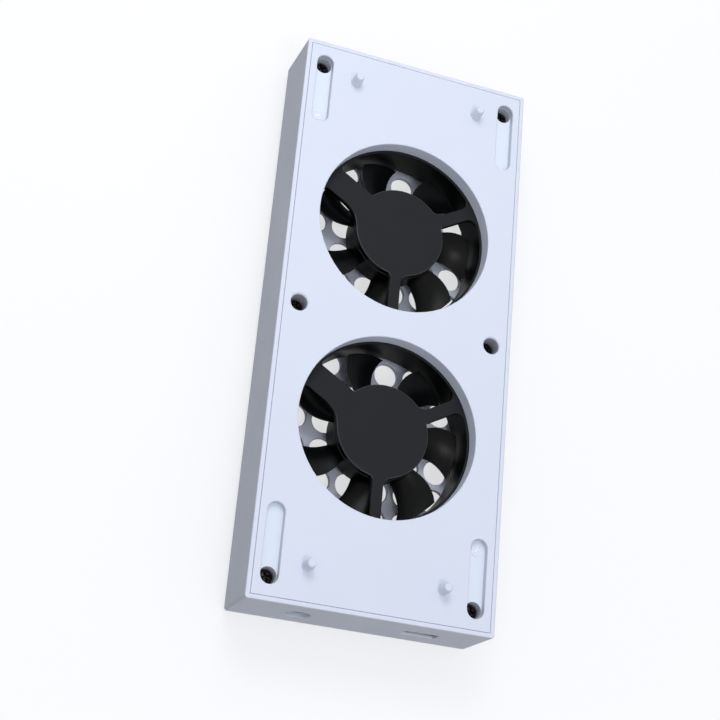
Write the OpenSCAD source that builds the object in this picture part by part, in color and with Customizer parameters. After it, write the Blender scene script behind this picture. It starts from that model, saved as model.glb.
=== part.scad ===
// Console cooling stand: a flat white case with two 50 mm fans under a pegged cover.
// X is the width, Y the length and Z is up. The feet stand on Z = 0, below the case centre.

/* [Case] */
// Width of the case
case_w = 66; // [64:0.5:76]
// Length of the case
case_l = 157.4; // [152:0.2:180]
// Height of the case, without feet and pegs
case_h = 18.4; // [18:0.1:22]
// Radius of the upright corners
corner_r = 0.8; // [0.3:0.1:1.1]
// Thickness of the side and end walls
wall_t = 2; // [1.7:0.1:2.2]
// Width of the rim that shows round the cover
rim_t = 1.2; // [0.9:0.1:1.4]
// Thickness of the floor
floor_t = 1.5; // [1.2:0.1:1.8]
// Thickness of the ribs inside the case
rib_t = 1.2; // [0.8:0.1:1.6]

/* [Cover] */
// Thickness of the cover plate
cover_t = 2.2; // [1.8:0.1:2.6]
// Gap between the cover and the rim
seam = 0.15; // [0.1:0.05:0.3]
// How much wider an opening's radius is than the duct below it
opening_lip = 0.65; // [0.3:0.05:1]
// Wall of the collar round each opening
collar_t = 1.2; // [0.8:0.1:1.6]
// Depth of the fans below the cover's face
fan_drop = 4.1; // [3.6:0.1:4.5]

/* [Pegs] */
// Radius of a peg
peg_r = 1.5; // [1:0.05:1.8]
// Radius of a peg's tip
peg_tip_r = 1.2; // [0.6:0.05:1.4]
// Height of a peg above the cover
peg_h = 3.8; // [3:0.1:6]
// Height of a peg's tapered tip
peg_tip_h = 1.4; // [0.8:0.1:2]
// Distance between the pegs across the case
peg_span_x = 36.2; // [30:0.1:40]
// Distance between the pegs along the case
peg_span_y = 137; // [132:0.5:140]

/* [Screw wells] */
// Distance of the screws from the case's long sides
screw_inset_x = 5.6; // [5.5:0.1:6.2]
// Distance of the corner screws from the case's ends
screw_inset_y = 6.6; // [5.8:0.1:8]
// Radius of a screw well
well_r = 2.25; // [2.2:0.05:2.4]
// Depth of a screw well
well_depth = 5; // [4.6:0.1:6.4]
// Thickness of the shelf under a screw's head
shelf_t = 1.6; // [1:0.1:2]
// Wall round a screw well
well_wall = 1.1; // [0.8:0.05:1.15]
// Length of a recess between its arc centres
recess_l = 16; // [10:0.5:18]
// Radius of a recess's ends
recess_r = 2.35; // [2.3:0.05:2.4]
// Depth of a recess
recess_depth = 1.8; // [1:0.1:2.2]
// Thickness of the cover under a recess
recess_floor_t = 1.4; // [1:0.1:1.8]

/* [Case screws] */
// Radius of a screw's shank
shank_r = 1.25; // [1:0.05:1.3]
// Length of a screw's shank
shank_l = 8.5; // [6:0.5:8.5]
// Radius of a screw's head
head_r = 2.05; // [1.8:0.05:2.1]
// Height of a screw's head
head_h = 1.6; // [1.2:0.1:2]
// Gap round a screw's shank
shank_gap = 0.05; // [0.02:0.01:0.1]
// Radius of a screw boss
boss_r = 3.2; // [2.6:0.1:3.3]

/* [Intake grille] */
// Radius of a hole in the floor
grille_r = 3.3; // [2:0.1:3.6]
// Distance between the holes
grille_pitch = 8.2; // [7.6:0.05:8.4]
// Holes along each side of a fan
grille_n = 6; // [4:2:6]

/* [Feet] */
// Radius of a foot
foot_r = 4.5; // [3:0.1:6]
// Height of a foot below the case
foot_proud = 2; // [1:0.1:4]
// Depth of the seat that holds a foot
foot_seat = 0.6; // [0.3:0.1:0.9]
// Distance of the feet from the case's long sides
foot_inset_x = 9; // [6.5:0.5:14]
// Distance of the feet from the case's ends
foot_inset_y = 14.7; // [8:0.5:18]

/* [Fan frames] */
// Width of a fan's frame
fan_w = 50; // [49.5:0.1:50.5]
// Depth of a fan's frame
fan_h = 10; // [9.8:0.1:10.5]
// Space between the two fans' frames
fan_space = 7.4; // [6.6:0.1:9]
// Thinnest wall of the air duct
duct_wall = 1.1; // [0.9:0.1:1.4]
// Radius of the frame's corners
frame_corner_r = 3; // [1:0.5:4]
// Distance of a frame's fixing holes from its sides
frame_hole_inset = 5; // [4.6:0.1:5.2]
// Radius of a frame's fixing holes
frame_hole_r = 2.15; // [1.6:0.05:2.2]
// Radius of a fan post
post_r = 3; // [2.6:0.1:3.6]
// Height of the pin on a fan post
post_pin_h = 4; // [2:0.5:7]
// Gap round the pin on a fan post
post_pin_gap = 0.2; // [0.05:0.05:0.3]

/* [Motor plate and struts] */
// Radius of the motor plate
plate_r = 12.7; // [12.5:0.1:13.2]
// Thickness of the motor plate and the struts
plate_t = 1.6; // [1.5:0.1:1.7]
// Half width of the narrow struts
strut_half = 1.8; // [1:0.1:2.4]
// Half width of the wide strut that carries the leads
lead_strut_half = 3.7; // [2.4:0.1:4.5]
// Radius that blends the wide strut into the motor plate
lead_blend_r = 8; // [3:0.5:10]
// Radius that blends the narrow struts into the motor plate
strut_blend_r = 2.4; // [0.5:0.1:4]

/* [Impeller] */
// Number of blades
blade_n = 7; // [5:1:9]
// Gap between the blade tips and the duct
tip_gap = 0.7; // [0.3:0.1:1]
// Radius of the impeller's hub
hub_r = 12.4; // [12.2:0.1:12.5]
// Wall of the impeller's hub
hub_wall = 1; // [0.7:0.1:1.2]
// Height of the leading edge above the frame's back
blade_low = 0.8; // [0.6:0.1:1.5]
// Height of the trailing edge above the frame's back
blade_high = 4.7; // [3.5:0.1:6]
// Thickest part of a blade
blade_t = 1; // [0.6:0.1:1.4]
// Angle that a blade spans round the hub
blade_span = 28; // [18:1:36]
// Angle by which the front impeller is turned from the rear one
front_phase = -2.3; // [-20:0.1:20]

/* [Motor] */
// Radius of the shaft
shaft_r = 1; // [0.75:0.05:1.2]
// Running gap between shaft and bearing
shaft_gap = 0.02; // [0.01:0.01:0.08]
// Outer radius of the bearing
bearing_r = 2.5; // [2.1:0.1:2.6]
// Wall of the bearing tube
tube_wall = 0.9; // [0.7:0.1:1]
// Gap between the magnet and the stator core
air_gap = 0.3; // [0.2:0.05:0.5]
// Wall of the ring magnet
magnet_t = 1.3; // [1:0.1:1.5]
// Wall of the steel yoke
yoke_t = 0.6; // [0.4:0.1:0.8]
// Height of the stator core
core_h = 2.4; // [1.8:0.1:2.6]
// Width of a stator arm
arm_w = 2.4; // [1.6:0.1:2.6]
// Thickness of the coil insulator
insulator_t = 0.4; // [0.3:0.05:0.5]
// Thickness of a winding
winding_t = 0.7; // [0.4:0.05:0.75]
// Thickness of the motor's circuit board
board_t = 0.7; // [0.5:0.1:0.8]

/* [Power inlet] */
// Distance of the inlet from the case's long side
inlet_inset = 16.6; // [16:0.1:19]
// Depth of the inlet and the switch below the cover's face
port_drop = 9.7; // [9.4:0.1:10]
// Radius of the inlet's hole
inlet_r = 3.1; // [2.9:0.05:3.3]
// Width and height of the inlet's body
jack_w = 9; // [8.6:0.1:9.4]
// Length of the inlet's body
jack_l = 12; // [11:0.5:13]
// Radius of the inlet's centre pin
jack_pin_r = 1; // [0.6:0.05:1.25]

/* [Switch] */
// Distance of the switch from the case's long side
switch_inset = 16.5; // [15:0.1:18]
// Width of the slot for the switch
slot_w = 9.2; // [9:0.1:10]
// Height of the slot for the switch
slot_h = 4.6; // [4:0.1:4.9]
// Width of the knob
knob_w = 3.8; // [3:0.1:4]
// Height of the knob
knob_h = 3.4; // [2.8:0.1:3.5]
// Travel of the knob
knob_travel = 4; // [3:0.5:4]
// Depth of the knob's tip below the wall's face
knob_sunk = 0.5; // [0.2:0.1:1]
// Width of the switch's shell
shell_w = 13; // [12.8:0.1:14]
// Height of the switch's shell
shell_h = 6.5; // [6.4:0.1:7]
// Length of the switch's shell behind the wall
shell_l = 6; // [5.8:0.1:7]
// Thickness of the switch's shell
shell_t = 0.5; // [0.4:0.05:0.6]
// Width and height of a switch terminal
terminal_w = 0.8; // [0.5:0.1:1]

/* [Leads] */
// Radius of a lead
lead_r = 0.45; // [0.3:0.05:0.5]

/* [Hidden] */
$fn = 48;
TINY = 0.01;

// Heights that the parts share
case_z = foot_proud;
face_z = case_z + case_h;
floor_z = case_z + floor_t;
ledge_z = face_z - cover_t;
fan_top_z = face_z - fan_drop;
fan_z = fan_top_z - fan_h;
head_seat_z = face_z - well_depth;
boss_top_z = head_seat_z - shelf_t;
port_z = face_z - port_drop;

// Places in the case
in_x = case_w / 2 - wall_t;
in_y = case_l / 2 - wall_t;
front_y = -case_l / 2;
port_y = front_y + wall_t;
fan_y = (fan_w + fan_space) / 2;
screw_x = case_w / 2 - screw_inset_x;
screw_y = case_l / 2 - screw_inset_y;
foot_x = case_w / 2 - foot_inset_x;
foot_y = case_l / 2 - foot_inset_y;
inlet_x = case_w / 2 - inlet_inset;
switch_x = case_w / 2 - switch_inset;
duct_r = fan_w / 2 - duct_wall;
opening_r = duct_r + opening_lip;
frame_hole_xy = fan_w / 2 - frame_hole_inset;

// Heights inside a fan, from its back face
plate_z = fan_h - plate_t;
hub_gap = 0.3;
hub_low = 0.2;
hub_high = plate_z - hub_gap;
hub_face_t = 1.2;
hub_in_z = hub_low + hub_face_t;
hub_in_r = hub_r - hub_wall;
yoke_in_r = hub_in_r - yoke_t;
magnet_in_r = yoke_in_r - magnet_t;
core_r = magnet_in_r - air_gap;
core_lift = 2.6;
core_z = hub_in_z + core_lift;
magnet_over = 1.3;
tube_r = bearing_r + tube_wall;
bearing_z = hub_in_z + 1.6;
bearing_l = 4.4;
board_z = plate_z - board_t;
clip_t = 0.2;
clip_z = bearing_z + bearing_l + 0.2;
clip_r = bearing_r - 0.4;
groove_r = shaft_r * 0.75;
shaft_low = hub_low + 0.6;
shaft_high = plate_z - 0.3;
blade_r = duct_r - tip_gap;
blade_phase = 73;
blade_lean = 7;
blade_curve = 15.2;

// Coil sizes
sleeve_w = arm_w + 2 * insulator_t;
sleeve_h = core_h + 2 * insulator_t;
coil_w = sleeve_w + 2 * winding_t;
coil_h = sleeve_h + 2 * winding_t;
core_ring_r = tube_r + 1.3;
tip_t = 1;
coil_r0 = core_ring_r + insulator_t;
coil_r1 = sqrt(pow(core_r - tip_t, 2) - pow(coil_w / 2, 2)) - insulator_t - 0.05;

// Switch and inlet
knob_rest_x = switch_x - knob_travel / 2;
knob_gap = 0.2;
carriage_w = knob_w + 2.2;
carriage_l = 1.2;
carriage_h = knob_h + 1.2;
base_t = 1;
terminal_l = 3;
terminal_pitch = 2.5;
base_y = port_y + shell_l - base_t;
terminal_end_y = port_y + shell_l + terminal_l - base_t;
jack_z = port_z - jack_w / 2;
jack_bore_l = 9.5;
jack_step = 0.2;
jack_back_y = port_y + jack_l;
tab_l = 2.5;
tab_x = -inlet_x - 2.6;
rib_gap = 0.1;

// Leads
channel_w = 2.6;
channel_h = 1.1;
lead_sides = 8;
lead_steps = 4;
lead_bend = 1.5;
lead_pitch = 1.1;
lead_gap = 0.3;
solder_gap = 0.15;
lead_side = 0.6;
LEAD_ANGLE = 150;

WHITE = "#e4e8f0";
FAN_BLACK = "#2a2c2e";
STEEL = "#b4b6b8";
COPPER = "#b4653a";
BRASS = "#c8a858";

// Rectangle with round corners, centred
module round_rect(w, l, r) {
    square([w - 2 * r, l], center = true);
    square([w, l - 2 * r], center = true);
    for (sx = [-1, 1], sy = [-1, 1])
        translate([sx * (w / 2 - r), sy * (l / 2 - r)]) circle(r);
}

// Flat ring standing on Z = 0
module ring(outer, inner, h) {
    difference() {
        cylinder(r = outer, h = h);
        translate([0, 0, -1]) cylinder(r = inner, h = h + 2);
    }
}

// Block from a low corner to a high corner
module block(low, high) {
    translate(low) cube(high - low);
}

// Places its children at the four corner screws
module at_corners() {
    for (sx = [-1, 1], sy = [-1, 1]) translate([sx * screw_x, sy * screw_y, 0]) children();
}

// Places its children at all six screws
module at_screws() {
    at_corners() children();
    for (sx = [-1, 1]) translate([sx * screw_x, 0, 0]) children();
}

// Places its children at the back of the rear (1) or the front (-1) fan
module at_fan(side) {
    translate([0, side * fan_y, fan_z]) children();
}

// Places its children at a fan's four fixing holes
module at_frame_holes() {
    for (sx = [-1, 1], sy = [-1, 1])
        translate([sx * frame_hole_xy, sy * frame_hole_xy, 0]) children();
}

// Round holes in a square grid, without the corner ones that the fan's frame covers
module grille_holes() {
    last = grille_n / 2 - 0.5;
    for (i = [-last : last], j = [-last : last])
        if (abs(i) + abs(j) < 2 * last)
            translate([i * grille_pitch, j * grille_pitch, -1]) cylinder(r = grille_r, h = floor_t + 2);
}

// Tray of the case, open at the top, with a ledge for the cover
module tray() {
    difference() {
        translate([0, 0, case_z]) linear_extrude(case_h) round_rect(case_w, case_l, corner_r);
        block([-in_x, -in_y, floor_z], [in_x, in_y, face_z + 1]);
        block([rim_t - case_w / 2, rim_t - case_l / 2, ledge_z],
            [case_w / 2 - rim_t, case_l / 2 - rim_t, face_z + 1]);
    }
}

// Boss that a case screw bites into, tied to the side wall
module screw_boss() {
    translate([0, 0, floor_z - TINY]) cylinder(r = boss_r, h = boss_top_z - floor_z + TINY);
}

// Ribs that tie the screw bosses to the walls
module boss_ribs() {
    low = floor_z - TINY;
    for (turn = [0, 180]) rotate(turn) {
        for (sy = [-1, 0, 1])
            block([screw_x, sy * screw_y - rib_t / 2, low],
                [in_x + TINY, sy * screw_y + rib_t / 2, boss_top_z]);
        for (sx = [-1, 1])
            block([sx * screw_x - rib_t / 2, screw_y, low],
                [sx * screw_x + rib_t / 2, in_y + TINY, boss_top_z]);
    }
}

// Stepped post that carries a fan's corner and enters its fixing hole
module fan_post() {
    translate([0, 0, floor_z - fan_z - TINY]) cylinder(r = post_r, h = fan_z - floor_z + TINY);
    translate([0, 0, -TINY]) cylinder(r = frame_hole_r - post_pin_gap, h = post_pin_h + TINY);
}

// Ribs on the floor that hold the power inlet
module inlet_cradle() {
    x = jack_w / 2 + rib_gap;
    y = jack_back_y + rib_gap;
    low = floor_z - TINY;
    for (sx = [-1, 1])
        block([-inlet_x + sx * (x + rib_t / 2) - rib_t / 2, port_y - TINY, low],
            [-inlet_x + sx * (x + rib_t / 2) + rib_t / 2, y, port_z]);
    block([-inlet_x - rib_t, port_y - TINY, low], [-inlet_x + rib_t, jack_back_y, jack_z]);
    block([-inlet_x - x - rib_t, y - TINY, low], [-inlet_x + x + rib_t, y + rib_t, jack_z + 1]);
}

// Ribs on the floor that hold the switch
module switch_cradle() {
    x = shell_w / 2 + rib_gap;
    low = floor_z - TINY;
    shelf_z = port_z - shell_h / 2;
    for (sx = [-1, 1]) {
        block([switch_x + sx * (x + rib_t / 2) - rib_t / 2, port_y - TINY, low],
            [switch_x + sx * (x + rib_t / 2) + rib_t / 2, port_y + shell_l, port_z]);
        block([switch_x + sx * shell_w / 3 - rib_t / 2, port_y - TINY, low],
            [switch_x + sx * shell_w / 3 + rib_t / 2, port_y + shell_l, shelf_z]);
    }
    block([switch_x - x - rib_t, port_y + shell_l + rib_gap, low],
        [switch_x + x + rib_t, port_y + shell_l + rib_gap + rib_t, shelf_z + 0.8]);
}

module housing() {
    color(WHITE) difference() {
        union() {
            tray();
            at_screws() screw_boss();
            boss_ribs();
            for (side = [-1, 1]) at_fan(side) at_frame_holes() fan_post();
            inlet_cradle();
            switch_cradle();
        }
        at_screws() translate([0, 0, floor_z + 1]) cylinder(r = shank_r + shank_gap, h = case_h);
        for (side = [-1, 1]) translate([0, side * fan_y, case_z]) grille_holes();
        for (sx = [-1, 1], sy = [-1, 1])
            translate([sx * foot_x, sy * foot_y, case_z - 1]) cylinder(r = foot_r, h = foot_seat + 1);
        translate([-inlet_x, port_y + TINY, port_z])
            rotate([90, 0, 0]) cylinder(r = inlet_r, h = wall_t + 1);
        block([switch_x - slot_w / 2, front_y - 1, port_z - slot_h / 2],
            [switch_x + slot_w / 2, port_y + TINY, port_z + slot_h / 2]);
    }
}

// Outline of a recess, with its outer end on the screw and its inner end nearer the middle
module recess_outline(grow) {
    for (sx = [-1, 1], sy = [-1, 1]) translate([sx * screw_x, sy * (screw_y - recess_l / 2)]) {
        square([2 * (recess_r + grow), recess_l], center = true);
        for (end = [-1, 1]) translate([0, end * recess_l / 2]) circle(recess_r + grow);
    }
}

// Peg that locates the console's own stand
module peg() {
    translate([0, 0, face_z - TINY]) cylinder(r = peg_r, h = peg_h - peg_tip_h + TINY);
    translate([0, 0, face_z + peg_h - peg_tip_h]) cylinder(r1 = peg_r, r2 = peg_tip_r, h = peg_tip_h);
}

module cover() {
    pad_z = face_z - recess_depth - recess_floor_t;
    color(WHITE) difference() {
        union() {
            translate([0, 0, ledge_z]) linear_extrude(cover_t)
                square([case_w - 2 * (rim_t + seam), case_l - 2 * (rim_t + seam)], center = true);
            for (side = [-1, 1]) translate([0, side * fan_y, fan_top_z])
                cylinder(r = opening_r + collar_t, h = face_z - fan_top_z - cover_t / 2);
            translate([0, 0, pad_z]) linear_extrude(face_z - pad_z - cover_t / 2)
                recess_outline(well_wall);
            at_screws() translate([0, 0, boss_top_z])
                cylinder(r = well_r + well_wall, h = face_z - boss_top_z - cover_t / 2);
            for (sx = [-1, 1], sy = [-1, 1])
                translate([sx * peg_span_x / 2, sy * peg_span_y / 2, 0]) peg();
            block([-inlet_x - jack_w / 4, port_y + 1, jack_z + jack_w],
                [-inlet_x + jack_w / 4, jack_back_y - 1, ledge_z + TINY]);
            block([switch_x - shell_w / 4, port_y + 1, port_z + shell_h / 2],
                [switch_x + shell_w / 4, port_y + shell_l - 1, ledge_z + TINY]);
        }
        for (side = [-1, 1]) translate([0, side * fan_y, fan_top_z - 1])
            cylinder(r = opening_r, h = fan_drop + 2);
        translate([0, 0, face_z - recess_depth]) linear_extrude(recess_depth + 1) recess_outline(0);
        at_screws() translate([0, 0, head_seat_z]) cylinder(r = well_r, h = well_depth + 1);
        at_screws() translate([0, 0, boss_top_z - 1])
            cylinder(r = shank_r + 2 * shank_gap, h = shelf_t + 2);
    }
}

// Pan head screw with a cross recess, hanging from its seat
module case_screw() {
    slot_w = 0.6;
    slot_l = 1.3 * head_r;
    point_l = shank_r;
    difference() {
        union() {
            cylinder(r = head_r, h = head_h * 0.6);
            translate([0, 0, head_h * 0.6]) cylinder(r1 = head_r, r2 = head_r * 0.75, h = head_h * 0.4);
        }
        for (turn = [0, 90]) rotate(turn + 45)
            translate([-slot_l / 2, -slot_w / 2, head_h * 0.4]) cube([slot_l, slot_w, head_h]);
    }
    translate([0, 0, point_l - shank_l]) cylinder(r = shank_r, h = shank_l - point_l + TINY);
    translate([0, 0, -shank_l]) cylinder(r1 = 0.2, r2 = shank_r, h = point_l + TINY);
}

module case_screws() {
    color("#26262a") at_screws() translate([0, 0, head_seat_z]) case_screw();
}

module rubber_feet() {
    edge = 0.5;
    color("#9a9ea4") for (sx = [-1, 1], sy = [-1, 1]) translate([sx * foot_x, sy * foot_y, 0]) {
        translate([0, 0, edge]) cylinder(r = foot_r, h = foot_proud + foot_seat - edge);
        cylinder(r1 = foot_r - edge, r2 = foot_r, h = edge);
    }
}

// Strut along +X from the fan's axis, with a blend into the motor plate on each side
module strut(right, left, right_blend, left_blend) {
    translate([0, -right]) square([duct_r + 0.5, right + left]);
    strut_blend(left, left_blend);
    mirror([0, 1]) strut_blend(right, right_blend);
}

// Concave blend of radius r between the motor plate and an edge at the given offset
module strut_blend(edge, r) {
    along = sqrt(pow(plate_r + r, 2) - pow(edge + r, 2));
    difference() {
        polygon([[0, 0], [along, 0], [along, edge + r]]);
        translate([along, edge + r]) circle(r);
    }
}

// Motor plate and its three struts, as seen from the front
module spider() {
    circle(plate_r);
    rotate(30) strut(strut_half, strut_half, 0.5, strut_blend_r);
    rotate(270) strut(strut_half, strut_half, strut_blend_r, strut_blend_r * 0.7);
    rotate(LEAD_ANGLE) strut(lead_strut_half, lead_strut_half, 0.3, lead_blend_r);
}

module fan_frame() {
    color(FAN_BLACK) difference() {
        union() {
            difference() {
                linear_extrude(fan_h) round_rect(fan_w, fan_w, frame_corner_r);
                translate([0, 0, -1]) cylinder(r = duct_r, h = fan_h + 2);
            }
            translate([0, 0, plate_z]) linear_extrude(plate_t) intersection() {
                spider();
                circle(duct_r + 0.4);
            }
            translate([0, 0, bearing_z - 0.2]) cylinder(r = tube_r, h = plate_z - bearing_z + 0.3);
        }
        translate([0, 0, bearing_z - 1]) cylinder(r = bearing_r, h = plate_z - bearing_z + 1);
        at_frame_holes() translate([0, 0, -1]) cylinder(r = frame_hole_r, h = fan_h + 2);
        rotate(LEAD_ANGLE) translate([tube_r + 1, -channel_w / 2, plate_z - TINY])
            cube([fan_w, channel_w, channel_h + TINY]);
    }
}

// Place along a blade, from -0.5 at the root to 0.5 at the tip
function blade_place(r) = (r - (hub_r + blade_r) / 2) / (blade_r - hub_r);

// Angle of the trailing edge at place q, falling back towards the tip
function trailing_angle(q) = blade_phase - blade_lean * q - blade_curve * q * q;

// Height of the blade's middle surface, from the leading (0) to the trailing edge (1)
function blade_rise(s) = blade_low + (blade_high - blade_low) * (s + 0.12 * sin(180 * s));

// Half of the blade's height at the same place
function blade_half(s) = blade_t * (0.22 + 0.28 * sin(180 * s));

// One ring of points round a blade's section at radius r
function blade_section(r, n) = [for (k = [0 : 2 * n + 1])
    let (top = k > n, s = (top ? 2 * n + 1 - k : k) / n, q = blade_place(r),
        a = trailing_angle(q) - (blade_span + q) * (1 - s))
    [r * cos(a), r * sin(a), blade_rise(s) + (top ? 1 : -1) * blade_half(s)]];

// Triangles between the rings of a closed tube of sections, m points in each
function tube_faces(rings, m) = concat(
    [for (i = [0 : rings - 2], k = [0 : m - 1]) let (a = i * m, b = (k + 1) % m)
        [a + k, a + m + k, a + b]],
    [for (i = [0 : rings - 2], k = [0 : m - 1]) let (a = i * m, b = (k + 1) % m)
        [a + b, a + m + k, a + m + b]]);

// Triangles across a blade's root and tip, between its bottom and top points
function blade_caps(last, n) = concat(
    [for (k = [0 : n - 1], t = [0, 1]) let (a = k, b = 2 * n + 1 - k)
        t == 0 ? [a, a + 1, b] : [a + 1, b - 1, b]],
    [for (k = [0 : n - 1], t = [0, 1]) let (a = last + k, b = last + 2 * n + 1 - k)
        t == 0 ? [a + 1, a, b] : [b - 1, a + 1, b]]);

module blade() {
    n = 6;
    stations = 7;
    root_r = hub_r - hub_wall / 2;
    m = 2 * n + 2;
    points = [for (i = [0 : stations - 1])
        each blade_section(root_r + (blade_r - root_r) * i / (stations - 1), n)];
    polyhedron(points, concat(tube_faces(stations, m), blade_caps((stations - 1) * m, n)), 4);
}

module impeller() {
    color("#1c1d1f") difference() {
        union() {
            difference() {
                translate([0, 0, hub_low]) cylinder(r = hub_r, h = hub_high - hub_low);
                translate([0, 0, hub_in_z]) cylinder(r = hub_in_r, h = fan_h);
            }
            translate([0, 0, hub_in_z - TINY]) cylinder(r = bearing_r + 0.3, h = 1 + TINY);
            for (k = [0 : blade_n - 1]) rotate(k * 360 / blade_n) blade();
        }
        translate([0, 0, shaft_low]) cylinder(r = shaft_r, h = fan_h);
    }
}

// Steel cup that closes the magnet's field
module yoke() {
    color(STEEL) translate([0, 0, hub_in_z]) difference() {
        cylinder(r = hub_in_r, h = hub_high - hub_in_z - 0.2);
        translate([0, 0, yoke_t]) cylinder(r = yoke_in_r, h = fan_h);
        translate([0, 0, -1]) cylinder(r = bearing_r + 0.3, h = fan_h);
    }
}

module magnet() {
    color("#4a4644") translate([0, 0, core_z - magnet_over])
        ring(yoke_in_r, magnet_in_r, core_h + 2 * magnet_over);
}

module shaft() {
    color(STEEL) difference() {
        translate([0, 0, shaft_low]) cylinder(r = shaft_r, h = shaft_high - shaft_low);
        translate([0, 0, clip_z]) ring(shaft_r + 1, groove_r, clip_t);
    }
}

// Split ring that keeps the shaft in its bearing
module clip() {
    color("#d8d8d0") translate([0, 0, clip_z]) difference() {
        ring(clip_r, groove_r, clip_t);
        translate([0, -groove_r / 2, -1]) cube([clip_r + 1, groove_r, 3]);
    }
}

module bearing() {
    color(BRASS) translate([0, 0, bearing_z]) ring(bearing_r, shaft_r + shaft_gap, bearing_l);
}

// Outline of the four-armed stator core
module core_outline() {
    difference() {
        union() {
            circle(core_ring_r);
            for (turn = [0, 90]) rotate(turn) square([2 * core_r - tip_t, arm_w], center = true);
            intersection() {
                difference() {
                    circle(core_r);
                    circle(core_r - tip_t);
                }
                for (turn = [0 : 90 : 270]) rotate(turn)
                    polygon([[0, 0], [2 * core_r, -1.35 * core_r], [2 * core_r, 1.35 * core_r]]);
            }
        }
        circle(tube_r);
    }
}

module core() {
    color("#8c9094") translate([0, 0, core_z]) linear_extrude(core_h) core_outline();
}

// Square tube round a stator arm, from one radius to another
module arm_sleeve(r0, r1, w, h, hole_w, hole_h) {
    translate([r0, 0, core_z + core_h / 2]) difference() {
        translate([0, -w / 2, -h / 2]) cube([r1 - r0, w, h]);
        translate([-1, -hole_w / 2, -hole_h / 2]) cube([r1 - r0 + 2, hole_w, hole_h]);
    }
}

module insulator() {
    color("#e8e0c8") {
        for (turn = [0 : 90 : 270]) rotate(turn) {
            arm_sleeve(core_ring_r, coil_r1 + insulator_t, sleeve_w, sleeve_h, arm_w, core_h);
            arm_sleeve(core_ring_r, coil_r0, coil_w, coil_h, arm_w, core_h);
            arm_sleeve(coil_r1, coil_r1 + insulator_t, coil_w, coil_h, arm_w, core_h);
        }
        for (z = [core_z - insulator_t, core_z + core_h])
            translate([0, 0, z]) ring(core_ring_r + insulator_t / 2, tube_r, insulator_t);
    }
}

module coils() {
    color(COPPER) for (turn = [0 : 90 : 270]) rotate(turn)
        arm_sleeve(coil_r0, coil_r1, coil_w, coil_h, sleeve_w, sleeve_h);
}

module board() {
    color("#3c6a48") translate([0, 0, board_z]) ring(core_r - 0.2, tube_r, board_t);
}

// Chip that senses the magnet and switches the coils
module drive_chip() {
    chip_h = 0.8;
    color("#303034") rotate(45) translate([core_r - 3.2, -1.4, board_z - chip_h])
        cube([1.8, 2.8, chip_h]);
}

// Point on the way from a to b, at most lead_bend from a
function toward(a, b) = a + (b - a) * min(0.45, lead_bend / norm(b - a));

// Point on a rounded corner b between a and c, at t from 0 to 1
function corner_point(a, b, c, t) = (1 - t) * (1 - t) * a + 2 * t * (1 - t) * b + t * t * c;

// Points along a route with rounded corners
function smooth(p) = let (last = len(p) - 1) concat([p[0]],
    [for (i = [1 : last - 1], k = [0 : lead_steps])
        corner_point(toward(p[i], p[i - 1]), p[i], toward(p[i], p[i + 1]), k / lead_steps)],
    [p[last]]);

function unit(v) = v / norm(v);

// Direction of the path at point i
function heading(p, i) = unit(p[min(i + 1, len(p) - 1)] - p[max(i - 1, 0)]);

// The part of v that is square to direction t
function square_to(v, t) = unit(v - (v * t) * t);

// Side direction at each point, carried along the path without twist
function sides_of(p) = [for (i = 0, u = square_to([0.31, 0.52, 0.8], heading(p, 0)); i < len(p);
    u = square_to(u, heading(p, min(i + 1, len(p) - 1))), i = i + 1) u];

// Round lead of radius lead_r along a route
module lead(route, shade) {
    p = smooth(route);
    side = sides_of(p);
    n = len(p);
    m = lead_sides;
    points = [for (i = [0 : n - 1]) let (t = heading(p, i), u = side[i], v = cross(t, u))
        for (k = [0 : m - 1]) p[i] + lead_r * (cos(k * 360 / m) * u + sin(k * 360 / m) * v)];
    caps = concat([for (k = [1 : m - 2]) [0, k, k + 1]],
        [for (k = [1 : m - 2]) let (a = (n - 1) * m) [a, a + k + 1, a + k]]);
    color(shade) polyhedron(points, concat(tube_faces(n, m), caps), 4);
}

// Lanes of the two fans' pairs of leads, beside the fans and in front of them
function lane_x(fan) = -(in_x + fan_w / 2) / 2 - fan * lead_pitch / 2;
function lane_y(fan) = (jack_back_y + rib_gap + rib_t - fan_y - frame_hole_xy - post_r) / 2
    - fan * lead_pitch / 2;
red_z = floor_z + lead_r + lead_gap;
black_z = red_z + lead_pitch;

// Corners of a lead of the rear (1) or front (-1) fan, from its board down to height z beside the fan
function fan_route(fan, offset, z) = let (c = cos(LEAD_ANGLE), s = sin(LEAD_ANGLE),
        start = tube_r + 2 * lead_pitch, far = (lane_x(fan) + offset * s) / c,
        top = fan_z + plate_z + lead_r + lead_gap / 2, y = fan * fan_y + far * s + offset * c)
    [[start * c - offset * s, fan * fan_y + start * s + offset * c, top],
        [lane_x(fan), y, top],
        [lane_x(fan), y - lead_bend, z]];

// Corners of the rear fan's leads where they swing round the middle screw boss
function boss_route(z) = let (x = lead_r + 2 * lead_gap + boss_r - screw_x,
        far = boss_r + 4 * lead_pitch, near = boss_r + lead_gap)
    [[lane_x(1), far, z], [x, near, z], [x, -near, z], [lane_x(1), -far, z]];

// Corners where a pair's lane turns towards the ports and comes to x, then rises clear of the fan
function lane_turn(fan, x, z) = let (y = min(lane_y(fan), lead_gap - fan_y - fan_w / 2 - lead_pitch))
    [[lane_x(fan), lane_y(fan), z], [x, lane_y(fan), z], [x, y - lead_gap, z]];

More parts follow.
